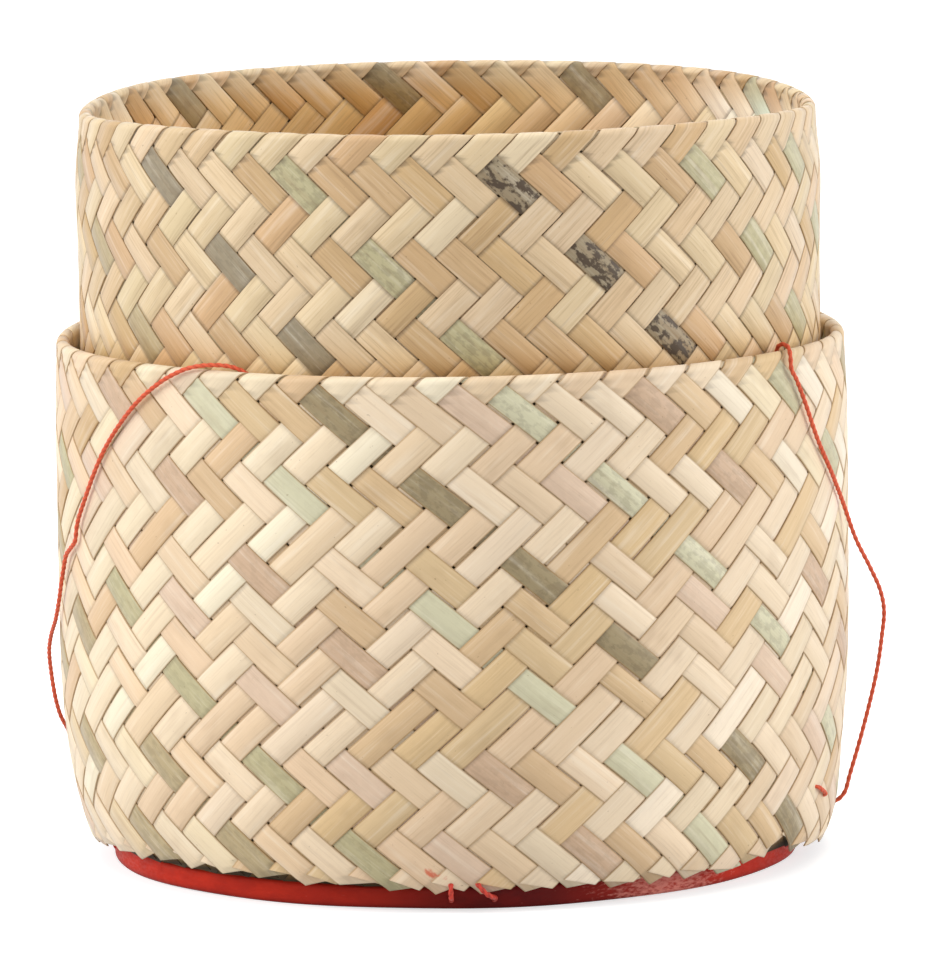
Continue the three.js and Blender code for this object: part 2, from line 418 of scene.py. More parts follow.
@dataclass(frozen=True)
class BambooFibre:
    """The shader group of split bamboo: grain, streaks, mottled skin, darker edges that are partly painted
    shade, painted shade where strips dive under and end, and red smears.

    The noises are stretched by so much across the strip, along it and from strip to strip.
    """

    strip_width: float = 4.34
    grain: tuple[float, float, float] = (3.4, 0.10, 7.3)
    streak: tuple[float, float, float] = (0.85, 0.045, 3.1)
    blotch: tuple[float, float, float] = (0.22, 0.11, 5.7)
    speck: tuple[float, float, float] = (2.6, 1.2, 9.1)
    mottle: tuple[float, float, float] = (0.95, 0.55, 4.3)
    smear: tuple[float, float, float] = (0.9, 0.5, 2.3)
    umber: Rgb = (126, 88, 48)
    # Edge lines: partly the cut fibre's own colour, partly painted shade in the gaps between strips
    edge_colour_and_shade: Rgb = (158, 120, 68)
    # Brown of the mottled skin's real stains, also used as the painted shade where a strip dives under
    stain_and_shade_brown: Rgb = (72, 56, 38)
    # Near-black painted shade at hidden strip ends and at the mat's edge
    hollow_shade: Rgb = (26, 16, 12)
    pallor: Rgb = (252, 243, 226)
    smear_colour: Rgb = (206, 86, 50)
    pale_streaks: Ramp = (0.52, 0.78, 0.0, 0.24)
    dark_streaks: Ramp = (0.44, 0.22, 0.0, 0.13)
    dark_blotches: Ramp = (0.45, 0.25, 0.0, 0.13)
    dark_grain: Ramp = (0.50, 0.30, 0.0, 0.11)
    pale_grain: Ramp = (0.56, 0.75, 0.0, 0.15)
    dark_specks: Ramp = (0.75, 0.82, 0.0, 0.38)
    mottle_patches: Ramp = (0.44, 0.60, 0.0, 1.0)
    mottle_power: float = 1.6
    mottle_most: float = 0.9
    edge_from: float = 0.88
    edge_to: float = 0.98
    edge_share: float = 0.62
    # Painted shade where a strip dives under its neighbours, and near-black painted shade at hidden ends
    dive: Ramp = (0.08, 0.62, 0.0, 1.0)
    hidden: Ramp = (1.4, 3.6, 0.0, 0.92)
    hidden_matte: Ramp = (1.4, 3.0, 0.0, 0.5)
    smeared: Ramp = (0.96, 1.22, 0.0, 0.85)
    roughness: Ramp = (0.3, 0.7, 0.62, 0.48)
    grain_height: float = 0.7
    streak_height: float = 0.3

    def build(self) -> NodeTree:
        """Makes the group. Its Fibre input is millimetres across and along a strip, and the strip's number.

        Returns:
            The group, which mixes one layer over another onto the tint, each by its own share.
        """
        numbers = ("Mottle", "Sunk", "Smear", "Depth Shade", "Streaks")
        inputs = {"Fibre": "Vector", "Tint": "Color"} | dict.fromkeys(numbers, "Float")
        sheet = GroupSheet("Bamboo fibre", inputs)
        given = sheet.given
        fibre, sunk, strength = given["Fibre"], given["Sunk"], given["Streaks"]
        grain = sheet.noise(fibre, self.grain, 3.0)
        streak = sheet.noise(fibre, self.streak)
        blotch = sheet.noise(fibre, self.blotch)
        rim = sheet.math("ABSOLUTE", sheet.add("SeparateXYZ", None, Vector=fibre).outputs[0])
        half = self.strip_width / 2
        edge = sheet.ramp(rim, (half * self.edge_from, half * self.edge_to, 0.0, 1.0))
        specks = sheet.ramp(sheet.noise(fibre, self.speck, 1.0), self.dark_specks)
        patches = sheet.ramp(sheet.noise(fibre, self.mottle, 4.0), self.mottle_patches)
        amount = sheet.math("POWER", given["Mottle"], self.mottle_power)
        stained = sheet.math("MULTIPLY", patches, sheet.math("MULTIPLY", amount, self.mottle_most))
        ragged = sheet.math("ADD", sheet.noise(fibre, self.smear, 4.0), given["Smear"])
        colour = given["Tint"]
        for share, layer in (
            (sheet.ramp(streak, self.pale_streaks), self.pallor),
            (sheet.math("MULTIPLY", sheet.ramp(streak, self.dark_streaks), strength), self.umber),
            (sheet.ramp(blotch, self.dark_blotches), self.umber),
            (sheet.math("MULTIPLY", sheet.ramp(grain, self.dark_grain), strength), self.umber),
            (sheet.ramp(grain, self.pale_grain), self.pallor),
            (specks, self.umber),
            (stained, self.stain_and_shade_brown),
            # Darker edges, partly painted shade in the gaps, then painted shade at dives and at hidden ends
            (sheet.math("MULTIPLY", edge, self.edge_share), self.edge_colour_and_shade),
            (sheet.math("MULTIPLY", sheet.ramp(sunk, self.dive), given["Depth Shade"]), self.stain_and_shade_brown),
            (sheet.ramp(sunk, self.hidden), self.hollow_shade),
            (sheet.ramp(ragged, self.smeared), self.smear_colour),
        ):
            colour = sheet.mix(share, colour, rgba(layer))
        rough = sheet.math("ADD", sheet.ramp(grain, self.roughness), sheet.ramp(sunk, self.hidden_matte))
        fine = sheet.math("MULTIPLY", grain, self.grain_height)
        height = sheet.math("ADD", fine, sheet.math("MULTIPLY", streak, self.streak_height))
        return sheet.give(colour, rough, height)


@dataclass(frozen=True)
class PatchyDye:
    """The shader group of a coat that varies: thick and thin paint or dye, scratches, and painted shade in low
    places.
    """

    scratch: tuple[float, float, float] = (900.0, 900.0, 2600.0)
    patch: tuple[float, float, float] = (180.0, 180.0, 320.0)
    thinned: Ramp = (0.35, 0.65, 0.0, 0.4)
    # Painted shade in low places
    low_shade: Ramp = (0.0, 1.0, 0.0, 0.7)
    worn: Ramp = (0.74, 1.14, 0.0, 0.85)
    roughness: Ramp = (0.3, 0.7, 0.42, 0.66)

    def build(self) -> NodeTree:
        """Makes the group. Its Place input is the piece's own coordinates in metres.

        Returns:
            The group.
        """
        colours, numbers = ("Thick", "Thin", "Bare", "Dirt"), ("Wear", "Low")
        inputs = {"Place": "Vector"} | dict.fromkeys(colours, "Color") | dict.fromkeys(numbers, "Float")
        sheet = GroupSheet("Patchy dye", inputs)
        given = sheet.given
        patch, scratch = (sheet.noise(given["Place"], stretch, 3.0) for stretch in (self.patch, self.scratch))
        colour = sheet.mix(sheet.ramp(patch, self.thinned), given["Thick"], given["Thin"])
        # Painted shade in low places: the hoop's bottom edge and the grooves of twisted thread
        colour = sheet.mix(sheet.ramp(given["Low"], self.low_shade), colour, given["Dirt"])
        worn = sheet.ramp(sheet.math("ADD", scratch, given["Wear"]), self.worn)
        return sheet.give(sheet.mix(worn, colour, given["Bare"]), sheet.ramp(scratch, self.roughness), scratch)


@dataclass(frozen=True)
class BambooFinish:
    """A wall's or a mat's bamboo, with how much painted shade darkens a strip where it dives under its
    neighbours.
    """

    name: str
    depth_shade: float
    streaks: float = 1.0
    relief: float = 0.05
    bump_strength: float = 0.6
    sheen: float = 0.2
    sheen_roughness: float = 0.4
    specular: float = 0.4

    def build(self, fibre: NodeTree) -> Material:
        """Makes the material from the piece's own attributes.

        Args:
            fibre: the bamboo fibre group.

        Returns:
            The material.
        """
        sheet = MaterialSheet(self.name)
        group = sheet.add("Group", {"node_tree": fibre}, Depth_Shade=self.depth_shade, Streaks=self.streaks)
        outputs = {"Fibre": "Vector", "Tint": "Color", "Mottle": "Fac", "Sunk": "Fac", "Smear": "Fac"}
        for label, output in outputs.items():
            sheet.tree.links.new(sheet.attribute(label.lower()).outputs[output], group.inputs[label])
        sheet.feed(group, self.bump_strength, self.relief, self.specular)
        sheet.shader["Sheen Weight"].default_value = self.sheen
        sheet.shader["Sheen Roughness"].default_value = self.sheen_roughness
        return sheet.material


@dataclass(frozen=True)
class RedFinish:
    """Red paint on cane, or red dye in twisted thread."""

    name: str
    thick: Rgb
    thin: Rgb
    bare: Rgb
    # The colour of the painted shade in low places
    dirt: Rgb
    relief: float
    specular: float
    tinted: bool = False
    bump_strength: float = 0.5

    def build(self, dye: NodeTree) -> Material:
        """Makes the material.

        Args:
            dye: the patchy dye group.

        Returns:
            The material, whose attributes wear and low say where the coat is thin and where painted shade lies.
            If it is tinted, the attribute tint gives the thick coat's colour.
        """
        sheet = MaterialSheet(self.name)
        colours = {label: rgba(getattr(self, label.lower())) for label in ("Thick", "Thin", "Bare", "Dirt")}
        group = sheet.add("Group", {"node_tree": dye}, **colours)
        links = sheet.tree.links
        if self.tinted:
            links.new(sheet.attribute("tint").outputs["Color"], group.inputs["Thick"])
        links.new(sheet.add("TexCoord").outputs["Object"], group.inputs["Place"])
        for label in ("Wear", "Low"):
            links.new(sheet.attribute(label.lower()).outputs["Fac"], group.inputs[label])
        sheet.feed(group, self.bump_strength, self.relief, self.specular)
        return sheet.material


@dataclass
class Finishes:
    """Every material of the object, each made once."""

    outer_weave: Material
    inner_weave: Material
    mat_weave: Material
    red_paint: Material
    red_thread: Material
    sewing_thread: Material

    @classmethod
    def build(cls) -> "Finishes":
        """Makes the two shader groups and the materials that use them.

        Returns:
            All the finishes.
        """
        fibre, dye = BambooFibre().build(), PatchyDye().build()
        paint = RedFinish(
            "red paint",
            thick=(196, 48, 34),
            thin=(160, 34, 28),
            bare=(236, 150, 136),
            dirt=(92, 26, 24),
            relief=0.06,
            specular=0.10,
            tinted=True,
        )
        thread = RedFinish(
            "red thread",
            thick=(224, 98, 66),
            thin=(206, 82, 54),
            bare=(240, 160, 130),
            dirt=(168, 58, 40),
            relief=0.03,
            specular=0.2,
        )
        sewing = RedFinish(
            "sewing thread",
            thick=(206, 70, 56),
            thin=(186, 56, 46),
            bare=(232, 138, 118),
            dirt=(140, 40, 34),
            relief=0.03,
            specular=0.2,
        )
        return cls(
            outer_weave=BambooFinish("outer weave", 0.22).build(fibre),
            inner_weave=BambooFinish("inner weave", 0.46, 2.1, sheen=0.28).build(fibre),
            mat_weave=BambooFinish("mat weave", 0.32, sheen=0.0, specular=0.1).build(fibre),
            red_paint=paint.build(dye),
            red_thread=thread.build(dye),
            sewing_thread=sewing.build(dye),
        )


# The walls


@dataclass(frozen=True)
class WallForm:
    """The shape of one half's doubled wall, as the frame has it: a skin, a round fold at the rim and a lining.

    Its layers are as thick as two strips that cross.
    """

    radius: float
    height: float
    flare: float
    lift: float
    flare_height: float = 26.0
    foot_inset: float = 4.46
    swell_height: float = 39.8
    swell_power: float = 3.2
    skirt: float = 3.2
    bulge: float = 0.0
    bulge_height: float = 5.0
    bulge_spread: float = 8.0
    side_dip: float = 0.0
    dip_depth: float = 16.0
    dip_lean: float = 0.7
    layer: float = 0.46
    wall: float = 2.0

    BULGE_HILL = Hill(90.0, 38.0)
    DIP_HILLS = (Hill(90.0, 28.0), Hill(-90.0, 28.0))
    LUMPS = (Wave(0.08, 3, 0.07), Wave(0.056, 7, -0.05, 1.0))
    SLOPE_STEP = 0.1

    @property
    def fold(self) -> float:
        """The height of the middle of the rim's fold."""
        return self.height - self.wall / 2

    @property
    def fold_radius(self) -> float:
        """From the middle of the fold to the middle of a layer."""
        return (self.wall - self.layer) / 2

    @property
    def fold_length(self) -> float:
        """How far a strip runs over the rim, from skin to lining."""
        return math.pi * self.fold_radius

    def radius_at(self, height: Array) -> Array:
        """The outside radius: drawn in at the foot by a power curve, opened at the rim by a smooth step."""
        up = np.clip((height - self.skirt) / self.swell_height, 0.0, 1.0)
        opened = smooth_between(height, self.fold - self.flare_height, self.fold)
        return self.radius - self.foot_inset * (1.0 - up) ** self.swell_power + self.flare * opened

    def bulge_at(self, angle: Array, height: Array) -> Array:
        """How far the foot's right side stands out: the bulge times a hill of angle and one of height."""
        level = np.exp(-(((height - self.bulge_height) / self.bulge_spread) ** 2))
        return self.bulge * self.BULGE_HILL.at(angle) * level

    def place(self, run: Array, angle: Array, out: Array) -> Array:
        """Points of the doubled wall.

        A run of s millimetres goes up the skin to the fold's height F, half round a circle of radius c about
        the middle of the wall, and down the lining: the turn is (s - F) / c, held between 0 and half a turn.
        The radius is the wall's middle plus c times the turn's cosine, the height is the level plus c times
        its sine, and the offset goes along the layer's normal: the turn less the angle of the wall's slope.
        On both sides the rim sinks by the side dip times a hill of angle, times a smooth step over the dip's
        depth, and leans in by a share of that. Two waves make the wall a little lumpy.

        Args:
            run: millimetres from the foot, up the skin, over the rim and down the lining.
            angle: degrees round the axis.
            out: offset from the layer's middle towards the side that it shows.

        Returns:
            The points, in millimetres over the floor.
        """
        turn = np.clip((run - self.fold) / self.fold_radius, 0.0, math.pi)
        down = np.clip(run - self.fold - self.fold_length, 0.0, None)
        level = np.minimum(run, self.fold) - down
        rise = self.radius_at(level + self.SLOPE_STEP) - self.radius_at(level - self.SLOPE_STEP)
        normal = turn - np.arctan(rise / (2 * self.SLOPE_STEP))
        near_rim = smooth_between(level, self.fold - self.dip_depth, self.fold)
        dip = self.side_dip * near_rim * total(self.DIP_HILLS, angle)
        radius = self.radius_at(level) - self.wall / 2 + self.fold_radius * np.cos(turn)
        radius = radius + total(self.LUMPS, angle, level) + self.bulge_at(angle, level)
        radius = radius - self.dip_lean * dip * near_rim
        height = level + self.fold_radius * np.sin(turn) - dip
        return around(angle, radius + out * np.cos(normal), height + out * np.sin(normal) + self.lift)


@dataclass(frozen=True)
class StripForm:
    """A split bamboo strip: its cross-section and how it bends over and under."""

    width: float = 4.34
    thickness: float = 0.22
    bevel: float = 0.06
    crown: float = 0.006
    rise: float = 0.115
    bend_share: float = 0.17

    def section(self) -> tuple[Array, Array]:
        """The section's corners, its top from left to right first, then down and back.

        Returns:
            The corners' places across the strip, and out of its middle.
        """
        half, top = self.width / 2, self.thickness / 2
        across = np.array([-half + self.bevel, 0.0, half - self.bevel, half, half, -half, -half])
        out = np.array([top, top + self.crown, top, top - self.bevel, -top, -top, top - self.bevel])
        return across, out

    def top_faces(self, faces: int) -> Array:
        """Which of so many side faces are the strip's top, the first two of each ring, and shade smooth."""
        corners = len(self.section()[0])
        return np.tile(np.arange(corners) < 2, faces // corners)

    def over_share(self, crossing: Array, here: Array, following: Array) -> Array:
        """Blends from one crossing's side to the next one's.

        With t the way from crossing to crossing, the share goes from here to following along a smooth step
        that starts at t = 1/2 - b and ends at 1/2 + b, where b is the bend share.

        Args:
            crossing: position along the strip, counted in crossings.
            here: +1 or -1, over or under at the crossing before.
            following: the same at the crossing after.

        Returns:
            The share from -1, under, to +1, over.
        """
        way = crossing - np.floor(crossing)
        return here + (following - here) * smooth_between(way, 0.5 - self.bend_share, 0.5 + self.bend_share)


class Twill(Enum):
    """The orders in which the strips go over two and under two."""

    ROWS = (math.inf, math.inf)
    BELTED = (10, 18)

    def rising_over(self, rising: Array, falling: Array) -> Array:
        """Where a rising strip lies over a falling one: +1 there, -1 elsewhere.

        With d = falling - rising, which counts crossings upwards, and m = falling + rising, which counts
        them round, rows have d mod 4 below 2, and upright zigzag columns have (m - 5) mod 4 below 2. A twill's
        value is the d from which it has columns, and the d from which it has rows again, the other way round.

        Args:
            rising: numbers of the rising strips.
            falling: numbers of the falling strips.

        Returns:
            The side, for each pair.
        """
        up, about = falling - rising, falling + rising
        columns_from, rows_from = self.value
        above = np.where(up >= rows_from, up % 4 >= 2, (about - 5) % 4 < 2)
        return np.where(np.where(up >= columns_from, above, up % 4 < 2), 1.0, -1.0)


@dataclass(frozen=True)
class Bundle:
    """The strips of one lean: where the first one starts, which are stained, and how high their ends are."""

    lean: Lean
    start: float
    stained: dict[int, tuple[StripColour, float]]
    lower_end: float


@dataclass(frozen=True)
class HandWork:
    """How unevenly strips are split, laid and cut: the reach of each random draw."""

    foot_end: float = 0.3
    lining_end: float = 0.2
    sway: float = 0.035
    sway_pace: tuple[float, float] = (0.09, 0.16)
    widest: float = 1.01
    narrowing: float = 0.13
    narrow_power: float = 3.0
    aside: float = 0.05
    cut_lean: tuple[float, float] = (0.45, 0.85)
    brightness: tuple[float, float] = (0.975, 1.02)
    hue: float = 2.0
    mottle: float = 0.10

    def draw(self, rng: np.random.Generator, count: int, low: float, high: float) -> Array:
        """One number between low and high for each of so many strips."""
        return rng.uniform(low, high, count)[:, None, None]


@dataclass(frozen=True)
class Smear:
    """Red paint on the strips: its angle and width, its height and spread, and how strong it is."""

    angle: float
    width: float
    height: float
    spread: float
    strength: float

    def at(self, angle: Array, height: Array) -> Array:
        """The strength times a hill of angle and one of height."""
        hill = Hill(self.angle, self.width, self.strength).at(angle)
        return hill * np.exp(-(((height - self.height) / self.spread) ** 2))


@dataclass
class WovenWall:
    """One half's doubled wall, woven from closed strips that turn over the rim.

    Where lengths have no unit they are in millimetres of run, from the foot up the skin, over the rim and
    down the lining.
    """

    name: str
    body: str
    form: WallForm
    twill: Twill
    strips: int
    climb: float
    bundles: tuple[Bundle, Bundle]
    plain: dict[StripColour, float]
    seed: int
    fine_from: float
    smears: tuple[Smear, ...] = ()
    strip: StripForm = field(default_factory=StripForm)
    hand: HandWork = field(default_factory=HandWork)
    twist: float = 0.0
    tone: tuple[float, float, float] = (1.0, 1.0, 1.0)
    # The golden painted shade of the inside, and of the skin that the other half covers
    shade_tone: tuple[float, float, float] = (0.965, 0.855, 0.615)
    lining_end: float = 4.0
    # How far down the other half covers the skin, and how much painted shade that part takes
    covered_below: float = -8.0
    covered_share: float = 0.68
    foot_level: float = 4.0
    end_reach: float = 12.0
    rim_reach: float = 6.0
    rim_step: float = 0.45
    fold_reach: float = 2.0
    fold_step: float = 0.23
    rings_low: int = 6
    rings_shown: int = 7
    rings_inside: int = 5
    lean_reach: float = 4.0
    foot_lead: float = 0.5
    lining_lead: float = 1.0
    noise_apart: float = 100.0
    side_lean: float = 0.35
    lining_lean: float = 0.9
    # How far a strip's hidden end goes to near-black painted shade
    hidden: float = 3.0
    tone_reach: float = 5.0
    covered_span: tuple[float, float] = (6.0, -3.0)
    side_from: float = 55.0
    side_to: float = 80.0
    hidden_below: tuple[float, float] = (-2.5, 0.0)
    hidden_above: tuple[float, float] = (-1.1, -0.3)

    # How high the lower ends were cut, round the foot: degrees, then millimetres
    CUTS = (
        (-180.0, 3.2), (-90.0, 2.6), (-80.0, 2.8), (-72.0, 3.5), (-65.0, 4.1), (-50.0, 4.4),
        (-20.0, 3.6), (0.0, 3.0), (20.0, 2.6), (45.0, 2.3), (51.0, 2.6), (55.0, 4.4),
        (60.0, 4.9), (63.0, 4.4), (66.0, 2.6), (70.0, 2.0), (95.0, 2.0),
    )
    # How the whole weave wanders round the axis, in degrees
    WANDER = (Wave(0.30, 2, 0.05), Wave(0.18, 5, -0.09))
    # Where light reaches the lining: its painted shade tone goes, and painted light makes it brighter
    LIT_LINING = (Hill(120.0, 40.0, 2.1), Hill(-108.0, 37.0, 0.75))
    LINING_GLOW = (Hill(120.0, 40.0, 0.30), Hill(-108.0, 37.0, 0.30))

    @property
    def pitch(self) -> float:
        """Degrees from one strip of a bundle to the next."""
        return 360.0 / self.strips

    @property
    def layer_radius(self) -> float:
        """The middle of the skin, where the wall is upright."""
        return self.form.radius - self.form.layer / 2

    @property
    def steepness(self) -> float:
        """A strip's angle over the horizontal, in radians."""
        return math.atan2(1.0, self.layer_radius * math.radians(self.climb))

    @property
    def past_fold(self) -> float:
        """Where the fold ends and the lining begins."""
        return self.form.fold + self.form.fold_length

    @property
    def end(self) -> float:
        """Where the lining ends."""
        return self.past_fold + self.form.fold - self.lining_end

    def stations(self) -> Array:
        """Where along the run the strips have their rings: close at the rim, wider where less shows.

        Away from the rim a step is the run from one crossing to the next, shared among so many rings.

        Returns:
            The places in millimetres, evenly spread over each of six spans.
        """
        crossing = self.pitch / (2 * self.climb)
        fold, past, far, near = self.form.fold, self.past_fold, self.rim_reach, self.fold_reach
        spans = [
            (0.0, self.fine_from, crossing / self.rings_low),
            (self.fine_from, fold - far, crossing / self.rings_shown),
            (fold - far, fold - near, self.rim_step),
            (fold - near, past + near, self.fold_step),
            (past + near, past + far, self.rim_step),
            (past + far, self.end, crossing / self.rings_inside),
        ]
        counts = [max(2, round((high - low) / step)) for low, high, step in spans]
        parts = [np.linspace(*span[:2], count, endpoint=False) for span, count in zip(spans, counts)]
        return np.concatenate([*parts, [self.end]])

    def other(self, bundle: Bundle) -> Bundle:
        """The bundle that crosses this one."""
        return self.bundles[1] if bundle is self.bundles[0] else self.bundles[0]

    def lean_at(self, run: Array, ends: Array, cut: Array) -> Array:
        """How far the rings lean from square to the strip, 0, to level, 1.

        They are level over the fold, lean by their cut at the strip's lower end and by the lining's lean at
        its other end, with smooth steps as long as the lean's reach to all three. Both ends' leads say for
        how long the lean is full.

        Args:
            run: each ring's place along the run.
            ends: the height of each strip's lower end.
            cut: how far its lower end leans.

        Returns:
            The lean, for each strip and ring.
        """
        fold, past, reach, step = self.form.fold, self.past_fold, self.rim_reach, self.lean_reach
        rim = smooth_between(run, fold - reach, fold - reach + step)
        rim = rim * smooth_between(run, past + reach, past + reach - step)
        foot = cut * smooth_between(run, ends + step + self.foot_lead, ends + self.foot_lead)
        lining = smooth_between(run, self.end - step - self.lining_lead, self.end - self.lining_lead)
        return rim + foot + self.lining_lean * lining

    def sides_of(self, bundle: Bundle, own: Array, crossing: Array) -> list[Array]:
        """Whether a strip lies over, +1, or under, -1, at the crossing before a place and at the next one.

        Args:
            bundle: the bundle of the strip.
            own: the strip's number.
            crossing: the place, counted in the strips of the other bundle.

        Returns:
            The side at the crossing before, and at the next one.
        """
        before = np.floor(crossing)
        if bundle.lean is Lean.RISING:
            return [self.twill.rising_over(own, near) for near in (before, before + 1)]
        return [-self.twill.rising_over(near, own) for near in (before, before + 1)]

    def strip_points(self, bundle: Bundle, rng: np.random.Generator) -> dict[str, Array]:
        """Works out the strips of a bundle as whole arrays of strip, ring and corner.

        A strip's middle line climbs steadily: its angle is the start, plus a pitch for each strip, plus or
        minus the climb for each millimetre of run, plus the whole wall's twist and wander. Its width is the
        widest less the narrowing times a draw cubed, and it sways by a sine of the run. The cut heights round
        the foot, plus the bundle's own lower end and a draw, say where it starts. A ring that leans slides
        its corners along the strip, so that over the rim they are level and the strip folds in one line.
        A corner's place in crossings tells the strips that it lies between, and their sides give its offset
        from the layer.

        Args:
            bundle: the bundle.
            rng: draws, in this order, their lower ends, lining ends, sway, width, step aside and cut.

        Returns:
            The points, and the values that the materials read, each with the corners in the last place.
        """
        sign, climb, hand, count = bundle.lean.value, self.climb, self.hand, self.strips
        number = np.arange(count)[:, None, None]
        across, out = self.strip.section()
        foot = bundle.start + number * self.pitch + sign * climb * self.foot_level
        ends = np.interp(foot, *np.array(self.CUTS).T, period=360.0) + bundle.lower_end
        ends = ends + hand.draw(rng, count, -hand.foot_end, hand.foot_end)
        run = self.stations()[None, :, None]
        run = run + ends * np.clip(1.0 - run / self.end_reach, 0.0, 1.0)
        lining_end = hand.draw(rng, count, -hand.lining_end, hand.lining_end)
        run = run + lining_end * np.clip((run - self.end + self.end_reach) / self.end_reach, 0.0, 1.0)
        pace = hand.draw(rng, count, *hand.sway_pace)
        sway = hand.sway * np.sin(pace * run + hand.draw(rng, count, 0.0, 2 * math.pi))
        share_of_width = hand.widest - hand.narrowing * hand.draw(rng, count, 0.0, 1.0) ** hand.narrow_power
        side = across[None, None, :] * share_of_width + hand.draw(rng, count, -hand.aside, hand.aside) + sway
        at_side = smooth_between(np.abs(off_front(foot)), self.side_from, self.side_to)
        cut = np.minimum(hand.draw(rng, count, *hand.cut_lean) + self.side_lean * at_side, 1.0)
        cosine, sine = math.cos(self.steepness), math.sin(self.steepness)
        slide = -side * cosine / sine * self.lean_at(run, ends, cut)
        place = run + side * cosine + slide * sine
        sweep = np.degrees((-side * sine + slide * cosine) / self.layer_radius)
        angle = bundle.start + number * self.pitch + sign * (climb * run + sweep)
        crossing = (angle - self.other(bundle).start + sign * climb * place) / self.pitch
        own = np.broadcast_to(number, crossing.shape)
        share = self.strip.over_share(crossing, *self.sides_of(bundle, own, crossing))
        turned = angle + self.twist * place + total(self.WANDER, angle, place)
        points = self.form.place(place, turned, self.strip.rise * share + out)
        seeded = (number + self.noise_apart * (sign + 2) + self.seed) * np.ones(share.shape)
        return {
            "points": points,
            "fibre": np.stack(np.broadcast_arrays(across, run / sine + slide, seeded), axis=-1),
            # Painted shade: sunk darkens a strip where it dives under, and to near-black at its hidden end
            "sunk": (1.0 - share) / 2 + self.hidden_end(place, out),
            "smear": self.smear_values(points),
            **self.lining_light(angle, place),
        }

    def hidden_end(self, place: Array, out: Array) -> Array:
        """How dark painted shade makes a strip at its hidden end, by a smooth step below and a shorter one on
        top.
        """
        past_end = place - self.end
        below, above = (smooth_between(past_end, *span) for span in (self.hidden_below, self.hidden_above))
        return self.hidden * np.where(out < 0, below, above)

    def lining_light(self, angle: Array, place: Array) -> dict[str, Array]:
        """How far each corner has the lining's golden painted shade, and how much painted light brightens it.

        Inside, the share is 1 less the lit hills. Where the other half shades the skin, it has the covered
        share, with a smooth step over the covered span. The glow, painted light, is 1 plus its own hills,
        inside.

        Args:
            angle: degrees round the axis.
            place: millimetres along the run.

        Returns:
            The share of painted shade as lining, and the painted light factor as glow.
        """
        inside = smooth_between(place, self.past_fold, self.past_fold + self.tone_reach)
        start, end = (self.covered_below + reach for reach in self.covered_span)
        covered = self.covered_share * smooth_between(place, start, end)
        return {
            "lining": inside * (1.0 - total(self.LIT_LINING, angle)) + covered,
            "glow": 1.0 + inside * total(self.LINING_GLOW, angle),
        }

    def smear_values(self, points: Array) -> Array:
        """Where red paint got onto the strips: the strongest smear at each point."""
        angle = np.degrees(np.arctan2(points[..., 0], -points[..., 1]))
        smears = [smear.at(angle, points[..., 2]) for smear in self.smears]
        return np.max([np.zeros(angle.shape), *smears], axis=0)

    def colours(self, bundle: Bundle, rng: np.random.Generator) -> tuple[Array, Array, Array]:
        """Draws each strip's colour, and gives the stained ones theirs.

        Args:
            bundle: the bundle, which knows its stained strips.
            rng: draws the plain colours, how bright and which hue they are, and the mottling.

        Returns:
            The linear colours of the skin, the same colours with the golden painted shade, and how mottled each
            strip is.
        """
        hand, count = self.hand, self.strips
        weights = np.array(list(self.plain.values()))
        drawn = rng.choice(len(weights), count, p=weights / weights.sum())
        base = np.array([kind.value for kind in self.plain], float)[drawn] * np.array(self.tone)
        base = base * rng.uniform(*hand.brightness, (count, 1)) + rng.uniform(-hand.hue, hand.hue, (count, 3))
        mottle = rng.uniform(0.0, hand.mottle, count)
        for number, (stain, amount) in bundle.stained.items():
            base[number], mottle[number] = stain.value, amount
        held = np.clip(base, 0, 255)
        return linear(held), linear(held * np.array(self.shade_tone)), mottle

    def build(self, material: Material, slot: str) -> list[Piece]:
        """Weaves the wall as two pieces for each bundle.

        Args:
            material: the bamboo finish.
            slot: the record's material slot; not used.

        Returns:
            The pieces, which together stand for the frame's wall.
        """
        pieces = []
        for bundle in self.bundles:
            rng = np.random.default_rng(self.seed + bundle.lean.value)
            woven = self.strip_points(bundle, rng)
            skin, lining, mottle = self.colours(bundle, rng)
            # Painted shade and light: lining and covered skin take the golden shade tone, and the lining's lit
            # sides are painted brighter
            inwards = woven["lining"][..., None]
            tints = skin[:, None, None, :] * (1.0 - inwards) + lining[:, None, None, :] * inwards
            woven["tint"] = opaque(tints * woven["glow"][..., None])
            woven["mottle"] = np.broadcast_to(mottle[:, None, None], woven["sunk"].shape)
            rings, corners = woven["sunk"].shape[1:]
            for letter, chosen in zip("ab", np.array_split(np.arange(self.strips), 2)):
                groups = loft_faces(rings, corners, len(chosen), bundle.lean is Lean.FALLING, True)
                mesh = fill_mesh(
                    f"{self.name}_{bundle.lean.name.lower()}_strips_{letter}",
                    woven["points"][chosen],
                    groups,
                    [self.strip.top_faces(len(groups[0])), False, False],
                )
                for key in ("fibre", "tint", "mottle", "sunk", "smear"):
                    paint_points(mesh, key, woven[key][chosen])
                pieces.append(dress(mesh, material, f"{self.name}_wall", self.body))
        return pieces


